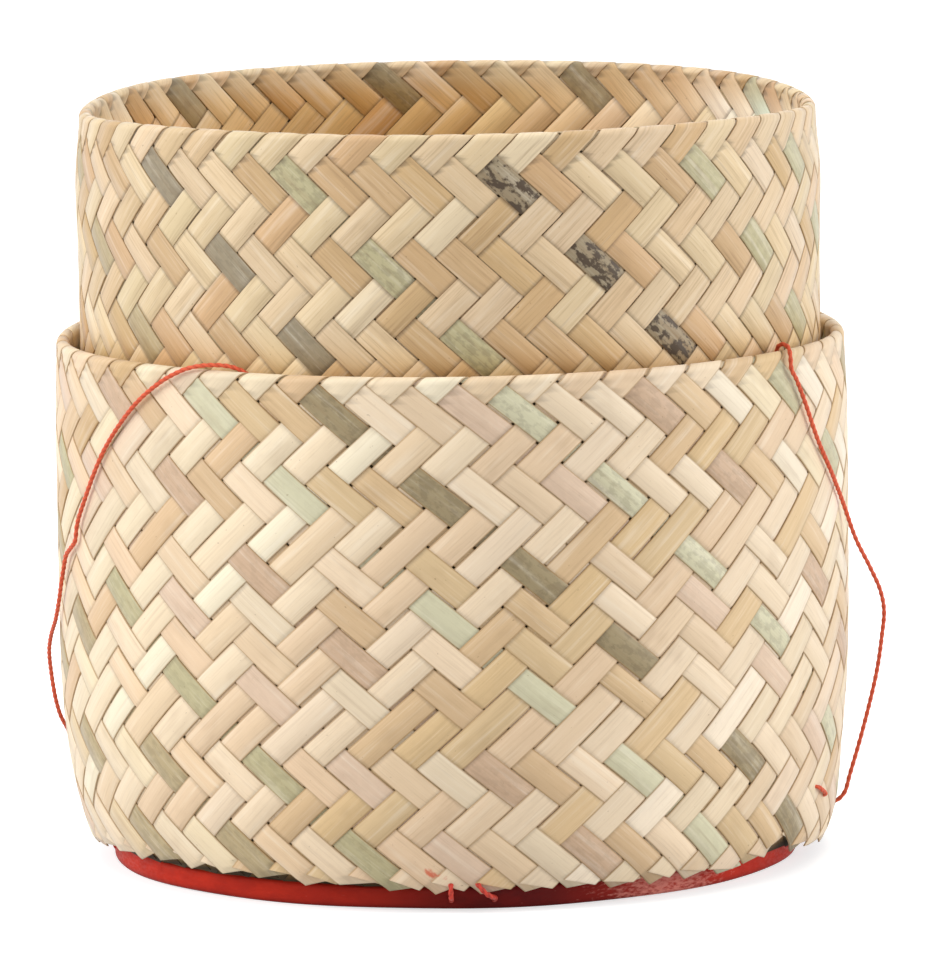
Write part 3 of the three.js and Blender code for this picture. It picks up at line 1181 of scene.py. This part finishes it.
@dataclass
class BottomMat:
    """A round mat of straight strips in two-over-two twill, which closes a half's bottom.

    Its strips lie side by side, so that their outer edges reach the circle: a pitch is the radius less the
    rim gap, shared among the strips from the middle line to the edge.
    """

    name: str
    body: str
    radius: float
    middle: float
    colours: tuple[StripColour, ...]
    seed: int
    side_strips: int
    rim_gap: float = 0.3
    strip_gap: float = 0.06
    thickness: float = 0.48
    rise: float = 0.27
    shortest: float = 2.0
    mottle: float = 0.05
    # How strongly painted shade darkens the mat's edge, where the wall closes round it
    edge_shade: float = 4.0
    edge_from: float = 1.3
    edge_to: float = 0.7
    noise_apart: float = 50.0
    rings: int = 101

    @property
    def pitch(self) -> float:
        """From one strip's middle to the next one's."""
        return (self.radius - self.rim_gap) / (self.side_strips + 0.5)

    @property
    def strip(self) -> StripForm:
        """The mat's strips, thicker than the wall's."""
        return StripForm(width=self.pitch - self.strip_gap, thickness=self.thickness, rise=self.rise)

    def layer(self, lengthwise: bool, rng: np.random.Generator) -> tuple[Array, dict[str, Array]]:
        """One way's strips, cut to the circle.

        A corner's distance y from the middle line sets how far its strip reaches, the root of the radius
        squared less y squared, and the rings are spread evenly between both ends. Near the circle, where the
        wall closes round it, painted shade darkens the mat along a smooth step.

        Args:
            lengthwise: true for the strips along Y.
            rng: draws their colours.

        Returns:
            The points, and the values that the material reads.
        """
        lanes = np.arange(-self.side_strips, self.side_strips + 1)
        across, out = self.strip.section()
        side = lanes[:, None, None] * self.pitch + across[None, None, :]
        reach = np.sqrt(np.maximum(self.radius**2 - side**2, self.shortest**2))
        along = np.linspace(-1.0, 1.0, self.rings)[None, :, None] * reach
        crossing = along / self.pitch
        before = np.floor(crossing)
        own = np.broadcast_to(lanes[:, None, None], crossing.shape)
        over = -1.0 if lengthwise else 1.0
        sides = [np.where((near + own) % 4 < 2, over, -over) for near in (before, before + 1)]
        share = self.strip.over_share(crossing, *sides)
        height = self.middle + self.strip.rise * share + out
        spread = np.broadcast_to(side, along.shape)
        points = np.stack([spread, along, height] if lengthwise else [along, spread, height], axis=-1)
        drawn = rng.integers(0, len(self.colours), len(lanes))
        tint = opaque(linear(np.array([colour.value for colour in self.colours], float)[drawn]))
        number = own + self.noise_apart * (1 + lengthwise) + self.seed
        edge = smooth_between(np.hypot(along, side), self.radius - self.edge_from, self.radius - self.edge_to)
        return points, {
            "fibre": np.stack([np.broadcast_to(across, along.shape), along, number], axis=-1),
            "tint": np.broadcast_to(tint[:, None, None, :], (*share.shape, 4)),
            "mottle": np.full(share.shape, self.mottle),
            # Painted shade where strips dive under, and at the edge
            "sunk": (1.0 - share) / 2 + self.edge_shade * edge,
            "smear": np.zeros(share.shape),
        }

    def build(self, material: Material, slot: str) -> Piece:
        """Makes the mat as one piece, which stands for the frame's mat.

        Args:
            material: the bamboo finish.
            slot: the record's material slot; not used.

        Returns:
            The piece, whose second layer's faces are turned over, because it is the first one's mirror image.
        """
        rng = np.random.default_rng(self.seed)
        layers = [self.layer(lengthwise, rng) for lengthwise in (False, True)]
        lanes, rings, corners = layers[0][0].shape[:3]
        size = lanes * rings * corners
        flat = [loft_faces(rings, corners, lanes, flip, True) for flip in (False, True)]
        groups = [np.concatenate([flat[0][kind], flat[1][kind] + size]) for kind in range(3)]
        points = np.concatenate([points for points, _ in layers])
        top = self.strip.top_faces(len(groups[0]))
        mesh = fill_mesh(f"{self.name}_bottom_weave", points, groups, [top, False, False])
        for key in layers[0][1]:
            paint_points(mesh, key, np.concatenate([values[key] for _, values in layers]))
        return dress(mesh, material, f"{self.name}_bottom_mat", self.body)


# The hoop and the threads


@dataclass
class FootHoop:
    """A bent strip of painted cane that a half stands on, worn where hands and tables touch it."""

    name: str
    body: str
    outside: float
    lift: float
    left_rise: float = 0.0
    left_reach: float = 0.0
    width: float = 2.8
    height: float = 3.3
    corner_power: float = 0.34
    inset: float = 0.12
    squash: float = 0.97
    worn: float = 0.08
    # How dark the painted shade along the bottom edge goes
    lowest_shade: float = 0.95
    sides: int = 28
    steps: int = 540
    bright: Rgb = (214, 54, 34)
    # The dark red of painted shade, where the hoop is shaded
    maroon_shade: Rgb = (106, 30, 30)

    LEFT_HILL = Hill(-72.0, 34.0)
    BENT = (Wave(0.09, 5, start=0.6), Wave(0.06, 11))
    CARVED = Wave(0.03, 9)
    # Where painted shade turns the paint dark red: in front and at the back
    SHADE_HILLS = (Hill(9.0, 21.0), Hill(165.0, 40.0, 0.55))
    WORN_HILLS = (Hill(37.0, 14.0, 0.46), Hill(-150.0, 30.0, 0.18))

    def profile(self) -> tuple[Array, Array]:
        """The section as a rounded box: cosine and sine to the corner power, with their signs kept."""
        turn = np.linspace(0.0, 2 * math.pi, self.sides, endpoint=False) + math.pi / self.sides
        ways = [np.sign(way) * np.abs(way) ** self.corner_power for way in (np.cos(turn), np.sin(turn))]
        return ways[0] * self.width / 2, ways[1] * self.height / 2

    def build(self, material: Material, slot: str) -> Piece:
        """Carries the section round the axis, a little uneven, and paints it.

        On the left it is taller by its left rise and wider by its left reach, times a hill of angle, and
        waves bend it. The paint goes from bright to dark red painted shade by the shade hills, the painted
        shade along its bottom edge is the lowest shade times the depth below its top cubed, and the wear is
        what it has everywhere plus the worn hills.

        Args:
            material: the paint.
            slot: the record's material slot; not used.

        Returns:
            The hoop.
        """
        reach, rise = (way[None, :] for way in self.profile())
        angle = np.linspace(-180.0, 180.0, self.steps, endpoint=False)[:, None]
        left = self.LEFT_HILL.at(angle)
        taller = 1.0 + self.left_rise / self.height * left
        middle = self.outside - self.width / 2 - self.inset
        radius = middle + total(self.BENT, angle) + self.left_reach * left + reach
        level = self.lift + taller * (self.height / 2 + rise * (self.squash + self.CARVED.at(angle)))
        # Painted shade: the paint goes dark red by the shade hills
        dark = np.clip(total(self.SHADE_HILLS, angle), 0.0, 1.0)[..., None]
        top = np.clip(rise / self.height + 0.5, 0.0, 1.0)
        values = {
            "tint": opaque(linear(self.bright) * (1.0 - dark) + linear(self.maroon_shade) * dark),
            "wear": (self.worn + total(self.WORN_HILLS, angle))[..., None],
            # Painted shade along the hoop's bottom edge
            "low": (self.lowest_shade * (1.0 - top) ** 3)[..., None],
        }
        points = around(angle, radius, level)
        faces = loft_faces(self.steps, self.sides, 1, True, False)
        mesh = fill_mesh(f"{self.name}_hoop", points, faces, [True])
        for key, value in values.items():
            paint_points(mesh, key, np.broadcast_to(value, (self.steps, self.sides, value.shape[-1])))
        return dress(mesh, material, f"{self.name}_foot_hoop", self.body)


def length_along(path: Array) -> Array:
    """How far along a path each of its points is."""
    return np.concatenate([[0.0], np.cumsum(np.linalg.norm(np.diff(path, axis=0), axis=1))])


def smooth_path(knots: Array, spacing: float, steps: int = 24) -> Array:
    """A centripetal Catmull-Rom curve through points, with evenly spaced points on it.

    Each stretch from p1 to p2 is the cubic through its ends whose tangents come from the neighbours p0 and
    p3, with time steps that are the square roots of the chords. The first and last chords are mirrored.

    Args:
        knots: the points that it goes through.
        spacing: millimetres between the points that come back.
        steps: how finely each stretch is worked out before that.

    Returns:
        The points of the curve.
    """
    before = 2 * knots[:1] - knots[1:2]
    after = 2 * knots[-1:] - knots[-2:-1]
    p = np.concatenate([before, knots, after])
    p0, p1, p2, p3 = p[:-3], p[1:-2], p[2:-1], p[3:]
    chords = np.linalg.norm(np.diff(p, axis=0), axis=1, keepdims=True) ** 0.5
    d0, d1, d2 = chords[:-2], chords[1:-1], chords[2:]
    t1 = ((p1 - p0) / d0 - (p2 - p0) / (d0 + d1) + (p2 - p1) / d1) * d1
    t2 = ((p2 - p1) / d1 - (p3 - p1) / (d1 + d2) + (p3 - p2) / d2) * d1
    t = np.linspace(0.0, 1.0, steps, endpoint=False)[None, :, None]
    a, b, c, d = (x[:, None, :] for x in (2 * p1 - 2 * p2 + t1 + t2, -3 * p1 + 3 * p2 - 2 * t1 - t2, t1, p1))
    fine = np.concatenate([(a * t**3 + b * t**2 + c * t + d).reshape(-1, 3), knots[-1:]])
    length = length_along(fine)
    even = np.linspace(0.0, length[-1], max(2, round(length[-1] / spacing) + 1))
    return np.stack([np.interp(even, length, fine[:, axis]) for axis in range(3)], axis=1)


@dataclass(frozen=True)
class TwistedThread:
    """Two-ply thread: a section with two lobes that turns as it goes."""

    diameter: float
    lay: float = 2.3
    sides: int = 12
    waist: float = 0.26
    spacing: float = 0.24
    wear: float = 0.18

    def mesh(self, name: str, paths: list[Array], aside: list[Vector | Array]) -> Mesh:
        """Carries the section along one or more paths.

        At a ring the section's radius at angle f is half the diameter times 1 - w sin squared (f - s), where
        w is the waist and s the twist, one turn for each lay. Its axes are the direction aside with its part
        along the path taken out, and their cross product.

        Args:
            name: the mesh's name.
            paths: the points of each path, in millimetres.
            aside: for each path a direction that it never runs along.

        Returns:
            The mesh, with the wear attribute, and the low attribute that paints shade into the groove between
            the plies.
        """
        points, groups, low, start = [], [[], [], []], [], 0
        for path, reference in zip(paths, aside):
            tangent = np.gradient(path, axis=0)
            tangent /= np.linalg.norm(tangent, axis=1, keepdims=True)
            reference = np.asarray(reference, float)[None, :]
            first = reference - np.sum(reference * tangent, axis=1, keepdims=True) * tangent
            first /= np.linalg.norm(first, axis=1, keepdims=True)
            second = np.cross(tangent, first)
            angle = np.linspace(0.0, 2 * math.pi, self.sides, endpoint=False)[None, :]
            waist = np.sin(angle - 2 * math.pi * length_along(path)[:, None] / self.lay) ** 2
            radius = self.diameter / 2 * (1.0 - self.waist * waist)
            ring = first[:, None, :] * np.cos(angle)[..., None] + second[:, None, :] * np.sin(angle)[..., None]
            points.append((path[:, None, :] + radius[..., None] * ring).reshape(-1, 3))
            low.append(waist.reshape(-1))
            made = loft_faces(len(path), self.sides, 1, True, True)
            groups = [kept + [new + start] for kept, new in zip(groups, made)]
            start += len(path) * self.sides
        groups = [np.concatenate(group) for group in groups]
        mesh = fill_mesh(name, np.concatenate(points), groups, [True, False, False])
        # Painted shade in the groove between the two plies
        paint_points(mesh, "low", np.concatenate(low) ** 2)
        paint_points(mesh, "wear", np.full(start, self.wear))
        return mesh


@dataclass
class CarryCord:
    """The thin carrying cord, its knots behind the wall and the short stitches beside its ends."""

    wall: WallForm
    diameter: float = 0.7
    knot_diameter: float = 1.8
    anchor_height: float = 7.0
    stitch_height: float = 11.4
    stitch_drop: float = 1.9
    stitch_turn: float = 4.2
    clearance: float = 0.3
    length: float = 0.334
    knot_thread: TwistedThread = TwistedThread(0.52, lay=1.6, sides=8)
    knot_steps: int = 97
    knot_reach: float = 3.0
    knot_depth: float = 1.2
    knot_tilt: float = 0.31
    stitch_spacing: float = 0.15

    # Degrees round from the front
    ANCHORS = {"left": -105.0, "right": 86.0}
    STITCHES = {"left": -121.0, "right": 69.8}
    # A stitch's line: how far along it, as a share of half of it, and millimetres off the wall
    STITCH_LINE = ((-1.1, -0.45), (-0.95, 0.2), (0.0, 0.42), (0.95, 0.2), (1.1, -0.45))

    # The frame's own route: degrees round from the front, distance from the axis and height
    ROUTE = (
        (-105, 54.25, 7), (-105, 56.6, 7), (-104.9, 57.75, 7.6), (-104.8, 58.45, 8.8),
        (-103.6, 58.7, 12.4), (-100.2, 59.5, 17), (-97, 59.95, 19.7), (-94.5, 60.3, 22.8),
        (-92, 60.6, 27), (-89, 60.7, 30.9), (-86, 60.4, 33.7), (-81.5, 59.95, 37),
        (-78.5, 59.85, 40.2), (-76, 59.85, 43.6), (-74.3, 59.85, 46), (-73, 59.85, 47.8),
        (-70.6, 59.85, 49.2), (-68.5, 59.85, 50.6), (-67.6, 59.85, 53), (-65, 59.85, 56.6),
        (-58, 59.85, 65.5), (-50.2, 59.85, 72.9), (-45, 59.85, 76.5), (-42.2, 59.8, 78),
        (-39.6, 59.4, 79.1), (-36.4, 58.4, 79.65), (-33.4, 57.2, 79.4), (-31, 56.45, 78.2),
        (-29, 56.15, 75.4), (-25.5, 56.15, 69), (-18.5, 56.15, 56), (-8, 56.15, 45),
        (5, 56.15, 38.7), (20, 56.15, 38), (35, 56.15, 43.5), (47, 56.15, 54),
        (55.5, 56.15, 67), (58.05, 56.2, 75.6), (57.7, 56.39, 78.26), (57.26, 57, 79.26),
        (56.82, 58.1, 79.65), (56.38, 59.2, 79.26), (55.94, 59.81, 78.26), (56.05, 59.92, 76.2),
        (57.4, 59.85, 74.6), (60.1, 59.85, 70.5), (63.7, 59.85, 65), (69, 59.85, 59.3),
        (75, 60, 53.4), (78, 61.15, 47.9), (80, 62.9, 43.4), (81.5, 64.2, 39.7),
        (82.8, 64.6, 36.4), (83.6, 64.2, 32.6), (84.6, 63.3, 26.9), (85.5, 61.15, 18.1),
        (86, 59.15, 11.2), (86, 58.2, 8.2), (86, 56.8, 7), (86, 54.25, 7),
    )

    def knot(self, side: str, material: Material) -> Piece:
        """Ties the cord's end behind the lining.

        The knot's line is a trefoil: x = sin t + 2 sin 2t, y = cos t - 2 cos 2t, z = -d sin 3t, where d is
        the knot's depth. It reaches 3 to each side. It is scaled so that thread and line together are as
        wide as the frame's knot, and turned to face the wall.

        Args:
            side: left or right.
            material: the thread.

        Returns:
            The knot.
        """
        thread, turn = self.knot_thread, np.linspace(0.0, 2 * math.pi, self.knot_steps)
        x, y = np.sin(turn) + 2 * np.sin(2 * turn), np.cos(turn) - 2 * np.cos(2 * turn)
        line = np.stack([x, y, -self.knot_depth * np.sin(3 * turn)], axis=1)
        line *= (self.knot_diameter - thread.diameter) / 2 / self.knot_reach
        angle, inside = self.ANCHORS[side], self.wall.radius_at(np.array(self.anchor_height)) - self.wall.wall
        centre = around(angle, inside - self.clearance - self.knot_diameter / 2, self.anchor_height)
        outwards, sideways = around(angle, 1.0, 0.0), around(angle + 90.0, 1.0, 0.0)
        placed = centre + line @ np.stack([sideways, UPWARDS, outwards])
        mesh = thread.mesh(f"cord_knot_{side}_tied", [placed], [outwards + self.knot_tilt * sideways])
        return dress(mesh, material, f"cord_knot_{side}", WIDER_BODY)

    def stitch(self, side: str, material: Material) -> Piece:
        """Lays a short stitch on the wall, slanting down towards the side, its ends turned in.

        Args:
            side: left or right.
            material: the thread.

        Returns:
            The stitch.
        """
        middle = self.STITCHES[side]
        ways, stand = np.array(self.STITCH_LINE).T
        height = self.stitch_height - ways * self.stitch_drop / 2
        angle = middle + ways * math.copysign(self.stitch_turn / 2, middle)
        route = around(angle, self.wall.radius_at(height) + self.wall.bulge_at(angle, height) + stand, height)
        thread = TwistedThread(self.diameter, spacing=self.stitch_spacing)
        path = smooth_path(route, thread.spacing)
        mesh = thread.mesh(f"cord_stitch_{side}_sewn", [path], [UPWARDS])
        return dress(mesh, material, f"cord_stitch_{side}", WIDER_BODY)

    def build(self, material: Material) -> list[Piece]:
        """Args:
            material: the thread.

        Returns:
            The cord, its knots and the stitches.
        """
        angle, radius, height = np.array(self.ROUTE, float).T
        thread = TwistedThread(self.diameter)
        path = smooth_path(around(angle, radius, height), thread.spacing)
        mesh = thread.mesh("carry_cord_twisted", [path], [np.array([0.0, 1.0, 0.0])])
        cord = dress(mesh, material, "carry_cord", WIDER_BODY)
        knots = [self.knot(side, material) for side in self.ANCHORS]
        return [cord, *knots, *(self.stitch(side, material) for side in self.STITCHES)]


@dataclass
class Lashing:
    """The threads that sew the wall's foot to the hoop: an upright leg and a slanting one at each place.

    In front they come out between the cut ends. Elsewhere they stay behind them.
    """

    name: str
    body: str
    wall: WallForm
    hoop_outside: float
    places: int = 4
    first: float = 1.5
    diameter: float = 0.8
    spacing: float = 0.16
    lean: float = 0.35
    edge_height: float = 4.2
    edge_points: int = 4
    legs: tuple[tuple[float, float], ...] = ((-2.5, -2.5), (1.4, 4.4))

    # A leg's line down to the hole: how far it has slanted, and its reach and height. In front the first
    # points' reach counts from the wall's edge, and all the others' from the hoop.
    SLANT = (0.0, 0.1, 0.35, 0.65, 1.0, 1.0, 1.0)
    FRONT_REACH = (-0.9, 0.3, 0.5, 0.3, 1.9, 0.5, -1.2)
    FRONT_HEIGHT = (4.7, 4.25, 3.4, 2.7, 2.0, 1.45, 1.4)
    BACK_REACH = (1.3, 0.9, 0.6, 0.5, 0.45, 0.0, -1.2)
    BACK_HEIGHT = (4.4, 3.8, 3.2, 2.7, 2.1, 1.45, 1.4)

    def leg(self, centre: float, top: float, bottom: float, shown: bool) -> Array:
        """A leg's line down to the hoop's hole.

        Args:
            centre: the lashing's angle.
            top: the leg's upper end, in degrees from the centre.
            bottom: the same for its lower end.
            shown: whether it comes out between the strips' ends before it goes down over the hoop.

        Returns:
            The points of the line.
        """
        radius, height = self.hoop_outside + np.array(self.BACK_REACH), np.array(self.BACK_HEIGHT)
        if shown:
            edge = float(self.wall.radius_at(np.array(self.edge_height)))
            start = np.where(np.arange(len(self.SLANT)) < self.edge_points, edge, self.hoop_outside)
            radius, height = start + np.array(self.FRONT_REACH), np.array(self.FRONT_HEIGHT)
        angle = centre + top + (bottom - top) * np.array(self.SLANT)
        return smooth_path(around(angle, radius, height + self.wall.lift), self.spacing)

    def build(self, material: Material) -> list[Piece]:
        """Makes one piece for each of the frame's lashings.

        Args:
            material: the sewing thread.

        Returns:
            The pieces.
        """
        pieces = []
        for place in range(self.places):
            centre = self.first + place * 360.0 / self.places
            paths = [self.leg(centre, top, bottom, place == 0) for top, bottom in self.legs]
            node = f"{self.name}_lashing_{place + 1}"
            beside = around(centre + 90.0, 1.0, self.lean)
            mesh = TwistedThread(self.diameter).mesh(f"{node}_sewn", paths, [beside] * len(paths))
            pieces.append(dress(mesh, material, node, self.body))
        return pieces


# The two halves


OUTER_FORM = WallForm(radius=59.1, height=78.9, flare=0.0, lift=0.0, bulge=1.3, side_dip=0.5)
INNER_FORM = WallForm(radius=55.2, height=108.3, flare=0.5, lift=5.2, side_dip=1.3)


@dataclass
class Basket:
    """One half: its woven wall, the mat that closes it, the hoop that it stands on and the lashings."""

    wall: WovenWall
    mat: BottomMat
    hoop: FootHoop
    lashing: Lashing

    def build(self, finishes: Finishes, weave: Material, slot: str) -> None:
        """Builds and dresses the half's pieces.

        Args:
            finishes: the materials.
            weave: the wall's own one.
            slot: the record's slot for the half's bamboo.
        """
        self.wall.build(weave, slot)
        self.mat.build(finishes.mat_weave, slot)
        self.hoop.build(finishes.red_paint, "red_hoop")
        self.lashing.build(finishes.sewing_thread)


def outer_basket() -> Basket:
    """The wider half, with its stained strips where the photograph has them.

    Returns:
        The half, ready to be built.
    """
    colour = StripColour
    falling = {
        0: (colour.OLIVE_TAN, 0.35),
        3: (colour.OLIVE_GREEN, 0.30),
        5: (colour.PINK, 0.12),
        8: (colour.PINK_BROWN, 0.25),
        11: (colour.PALE_GREEN, 0.15),
        14: (colour.DARK_OLIVE, 0.45),
        17: (colour.PINK, 0.15),
        18: (colour.PALE_GREEN, 0.40),
        21: (colour.PINK_BROWN, 0.30),
        25: (colour.SAGE, 0.30),
        29: (colour.OLIVE_TAN, 0.25),
        33: (colour.PALE_GREEN, 0.20),
        36: (colour.PINK_BROWN, 0.20),
        40: (colour.SAGE, 0.35),
        44: (colour.SAGE, 0.20),
        47: (colour.PINK, 0.10),
        51: (colour.OLIVE_TAN, 0.35),
    }
    rising = {53: (colour.MUSTARD, 0.1), 20: (colour.MUSTARD, 0.1), 37: (colour.HONEY, 0.1)}
    plain = {colour.BONE: 1.0, colour.CREAM: 7.0, colour.PEACH: 6, colour.TAN: 4.0, colour.HONEY: 0.6}
    wall = WovenWall(
        name="outer",
        body=WIDER_BODY,
        form=OUTER_FORM,
        twill=Twill.BELTED,
        strips=54,
        climb=1.13,
        twist=-0.048,
        bundles=(
            Bundle(Lean.RISING, start=-25.9, stained=rising, lower_end=1.3),
            Bundle(Lean.FALLING, start=-23.3, stained=falling, lower_end=0.7),
        ),
        plain=plain,
        tone=(1.0, 0.992, 0.982),
        seed=11,
        fine_from=0.5,
        smears=(
            Smear(-3.9, 4.2, 6.0, 1.3, 0.72),
            Smear(60.0, 6.0, 3.4, 1.6, 0.52),
            Smear(-58.0, 14.0, 4.2, 1.2, 0.40),
        ),
    )
    mixed = (colour.CREAM, colour.TAN, colour.PEACH)
    mat = BottomMat("outer", WIDER_BODY, radius=52.7, middle=4.25, colours=mixed, seed=61, side_strips=11)
    hoop = FootHoop("outer", WIDER_BODY, outside=51.1, lift=0.0, left_rise=0.4, left_reach=0.5)
    lashing = Lashing("outer", WIDER_BODY, OUTER_FORM, hoop_outside=51.0)
    return Basket(wall, mat, hoop, lashing)


def inner_basket() -> Basket:
    """The narrower half, tanner than the wider one, with its own stained strips.

    Returns:
        The half, ready to be built.
    """
    colour = StripColour
    falling = {
        5: (colour.OLIVE_TAN, 0.25),
        10: (colour.GREY_OLIVE, 0.35),
        14: (colour.OLIVE_GREEN, 0.45),
        19: (colour.MOTTLED_GREY, 1.25),
        24: (colour.OLIVE_GREEN, 0.30),
        28: (colour.SAGE, 0.30),
        33: (colour.OLIVE_TAN, 0.30),
        38: (colour.SAGE, 0.20),
        44: (colour.DARK_OLIVE, 0.40),
        49: (colour.DARK_OLIVE, 0.45),
        55: (colour.DARK_OLIVE, 0.30),
    }
    rising = {21: (colour.HONEY, 0.1), 46: (colour.TAN, 0.1)}
    plain = {colour.BONE: 1.6, colour.CREAM: 8, colour.PEACH: 1.6, colour.TAN: 5.2, colour.HONEY: 0.4}
    wall = WovenWall(
        name="inner",
        body=NARROWER_BODY,
        form=INNER_FORM,
        twill=Twill.ROWS,
        strips=56,
        climb=1.09,
        twist=-0.025,
        bundles=(
            Bundle(Lean.RISING, start=1.54, stained=rising, lower_end=1.3),
            Bundle(Lean.FALLING, start=-0.3, stained=falling, lower_end=0.7),
        ),
        plain=plain,
        tone=(0.945, 0.912, 0.852),
        covered_below=74.0,
        seed=23,
        fine_from=66.0,
        strip=StripForm(width=4.10),
    )
    mixed = (colour.TAN, colour.CREAM, colour.HONEY)
    mat = BottomMat("inner", NARROWER_BODY, radius=48.8, middle=9.45, colours=mixed, seed=67, side_strips=10)
    hoop = FootHoop("inner", NARROWER_BODY, outside=46.5, lift=5.2)
    lashing = Lashing("inner", NARROWER_BODY, INNER_FORM, hoop_outside=46.5)
    return Basket(wall, mat, hoop, lashing)


# The studio


@dataclass(frozen=True)
class PhotoCamera:
    """The camera as the photograph has it: far off, a little above, and turned a touch."""

    place: tuple[float, float, float] = (0.0, -1443.3, 259.3)
    pitch: float = -0.1398
    roll: float = -0.0134
    aside: float = 0.002452
    lens: float = 367.8
    sensor: float = 36.0
    nearest: float = 0.05
    farthest: float = 50.0

    def build(self) -> None:
        """Makes the camera. Its axes come from the pitch, then the turn aside, then the roll."""
        data = bpy.data.cameras.new("photo camera")
        camera = bpy.data.objects.new("photo camera", data)
        bpy.context.scene.collection.objects.link(camera)
        data.lens, data.sensor_width, data.sensor_fit = self.lens, self.sensor, "AUTO"
        data.clip_start, data.clip_end = self.nearest, self.farthest
        tilt = Matrix.Rotation(math.pi / 2 + self.pitch, 4, "X")
        turn = Matrix.Rotation(-self.aside, 4, "Y")
        roll = Matrix.Rotation(self.roll, 4, "Z")
        camera.matrix_world = Matrix.Translation(Vector(self.place) * MM) @ tilt @ turn @ roll
        bpy.context.scene.camera = camera


@dataclass(frozen=True)
class SoftLamp:
    """A large square lamp: where it stands, how big it is and how bright, aimed at the middle of the object."""

    name: str
    place: tuple[float, float, float]
    size: float
    power: float

    def build(self, aim: Vector) -> None:
        """Makes the lamp and turns it.

        Args:
            aim: where it points, in metres.
        """
        data = bpy.data.lights.new(self.name, "AREA")
        data.size, data.energy = self.size, self.power
        lamp = bpy.data.objects.new(self.name, data)
        bpy.context.scene.collection.objects.link(lamp)
        lamp.location = Vector(self.place)
        lamp.rotation_euler = (aim - lamp.location).to_track_quat("-Z", "Y").to_euler()


@dataclass(frozen=True)
class Studio:
    """A white floor, a white surround that the camera sees at full strength, and soft lamps."""

    floor_size: float = 6.0
    floor_white: float = 0.66
    floor_lift: float = 0.62
    surround: float = 0.59
    lamps: tuple[SoftLamp, ...] = (
        SoftLamp("left lamp", (-1.25, -0.45, 0.85), 0.9, 15.8),
        SoftLamp("right lamp", (1.35, -0.20, 0.45), 0.9, 11.2),
        SoftLamp("top lamp", (0.0, 0.1, 1.5), 1.2, 7.0),
    )

    def seen_directly(self, sheet: NodeSheet) -> Socket:
        """1 for the camera's own rays and for what gloss and glass show, 0 for light on the object."""
        path = sheet.add("LightPath")
        sight = sheet.math("MAXIMUM", path.outputs["Is Camera Ray"], path.outputs["Is Glossy Ray"])
        return sheet.math("MAXIMUM", sight, path.outputs["Is Transmission Ray"])

    def surround_light(self) -> None:
        """A plain white world: strength 1 where it is seen, and less as light."""
        world = bpy.data.worlds.new("studio")
        bpy.context.scene.world = world
        world.use_nodes = True
        world.node_tree.nodes.clear()
        sheet = NodeSheet(world.node_tree)
        strength = sheet.ramp(self.seen_directly(sheet), (0.0, 1.0, self.surround, 1.0))
        background = sheet.add("Background", None, Color=WHITE, Strength=strength)
        output = sheet.add("OutputWorld")
        world.node_tree.links.new(background.outputs[0], output.inputs[0])

    def floor(self) -> Piece:
        """A pale floor whose own light lifts it to white and leaves the object's soft shadow on it.

        Returns:
            The floor, marked as backdrop.
        """
        half = self.floor_size / 2 / MM
        corners = np.array([[-half, -half, 0.0], [half, -half, 0.0], [half, half, 0.0], [-half, half, 0.0]])
        material = bpy.data.materials.new("floor")
        material.use_nodes = True
        material.node_tree.nodes.clear()
        sheet = NodeSheet(material.node_tree)
        white = (self.floor_white,) * 3 + (1.0,)
        strength = sheet.math("MULTIPLY", self.seen_directly(sheet), self.floor_lift)
        matte = sheet.add("BsdfDiffuse", None, Color=white)
        glow = sheet.add("Emission", None, Color=WHITE, Strength=strength)
        both = sheet.add("AddShader", None, i0=matte.outputs[0], i1=glow.outputs[0])
        output = sheet.add("OutputMaterial")
        material.node_tree.links.new(both.outputs[0], output.inputs[0])
        floor = link_piece(fill_mesh("floor", corners, [np.array([[0, 1, 2, 3]])], [False]), material)
        floor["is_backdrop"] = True
        return floor

    def build(self, aim: Vector) -> None:
        """Sets the plain view, the surround, the floor and the lamps.

        Args:
            aim: where the lamps point, in metres.
        """
        bpy.context.scene.view_settings.view_transform = "Standard"
        self.surround_light()
        self.floor()
        for lamp in self.lamps:
            lamp.build(aim)


def main() -> None:
    """Builds the object round the frame, then the studio."""
    logging.basicConfig(level=logging.INFO, format="%(name)s: %(message)s")
    frame_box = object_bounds()
    PhotoCamera().build()
    finishes = Finishes.build()
    CarryCord(OUTER_FORM).build(finishes.red_thread)
    outer_basket().build(finishes, finishes.outer_weave, "outer_weave")
    inner_basket().build(finishes, finishes.inner_weave, "inner_weave")
    Studio().build((frame_box[0] + frame_box[1]) / 2)


if __name__ == "__main__":
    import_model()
    main()
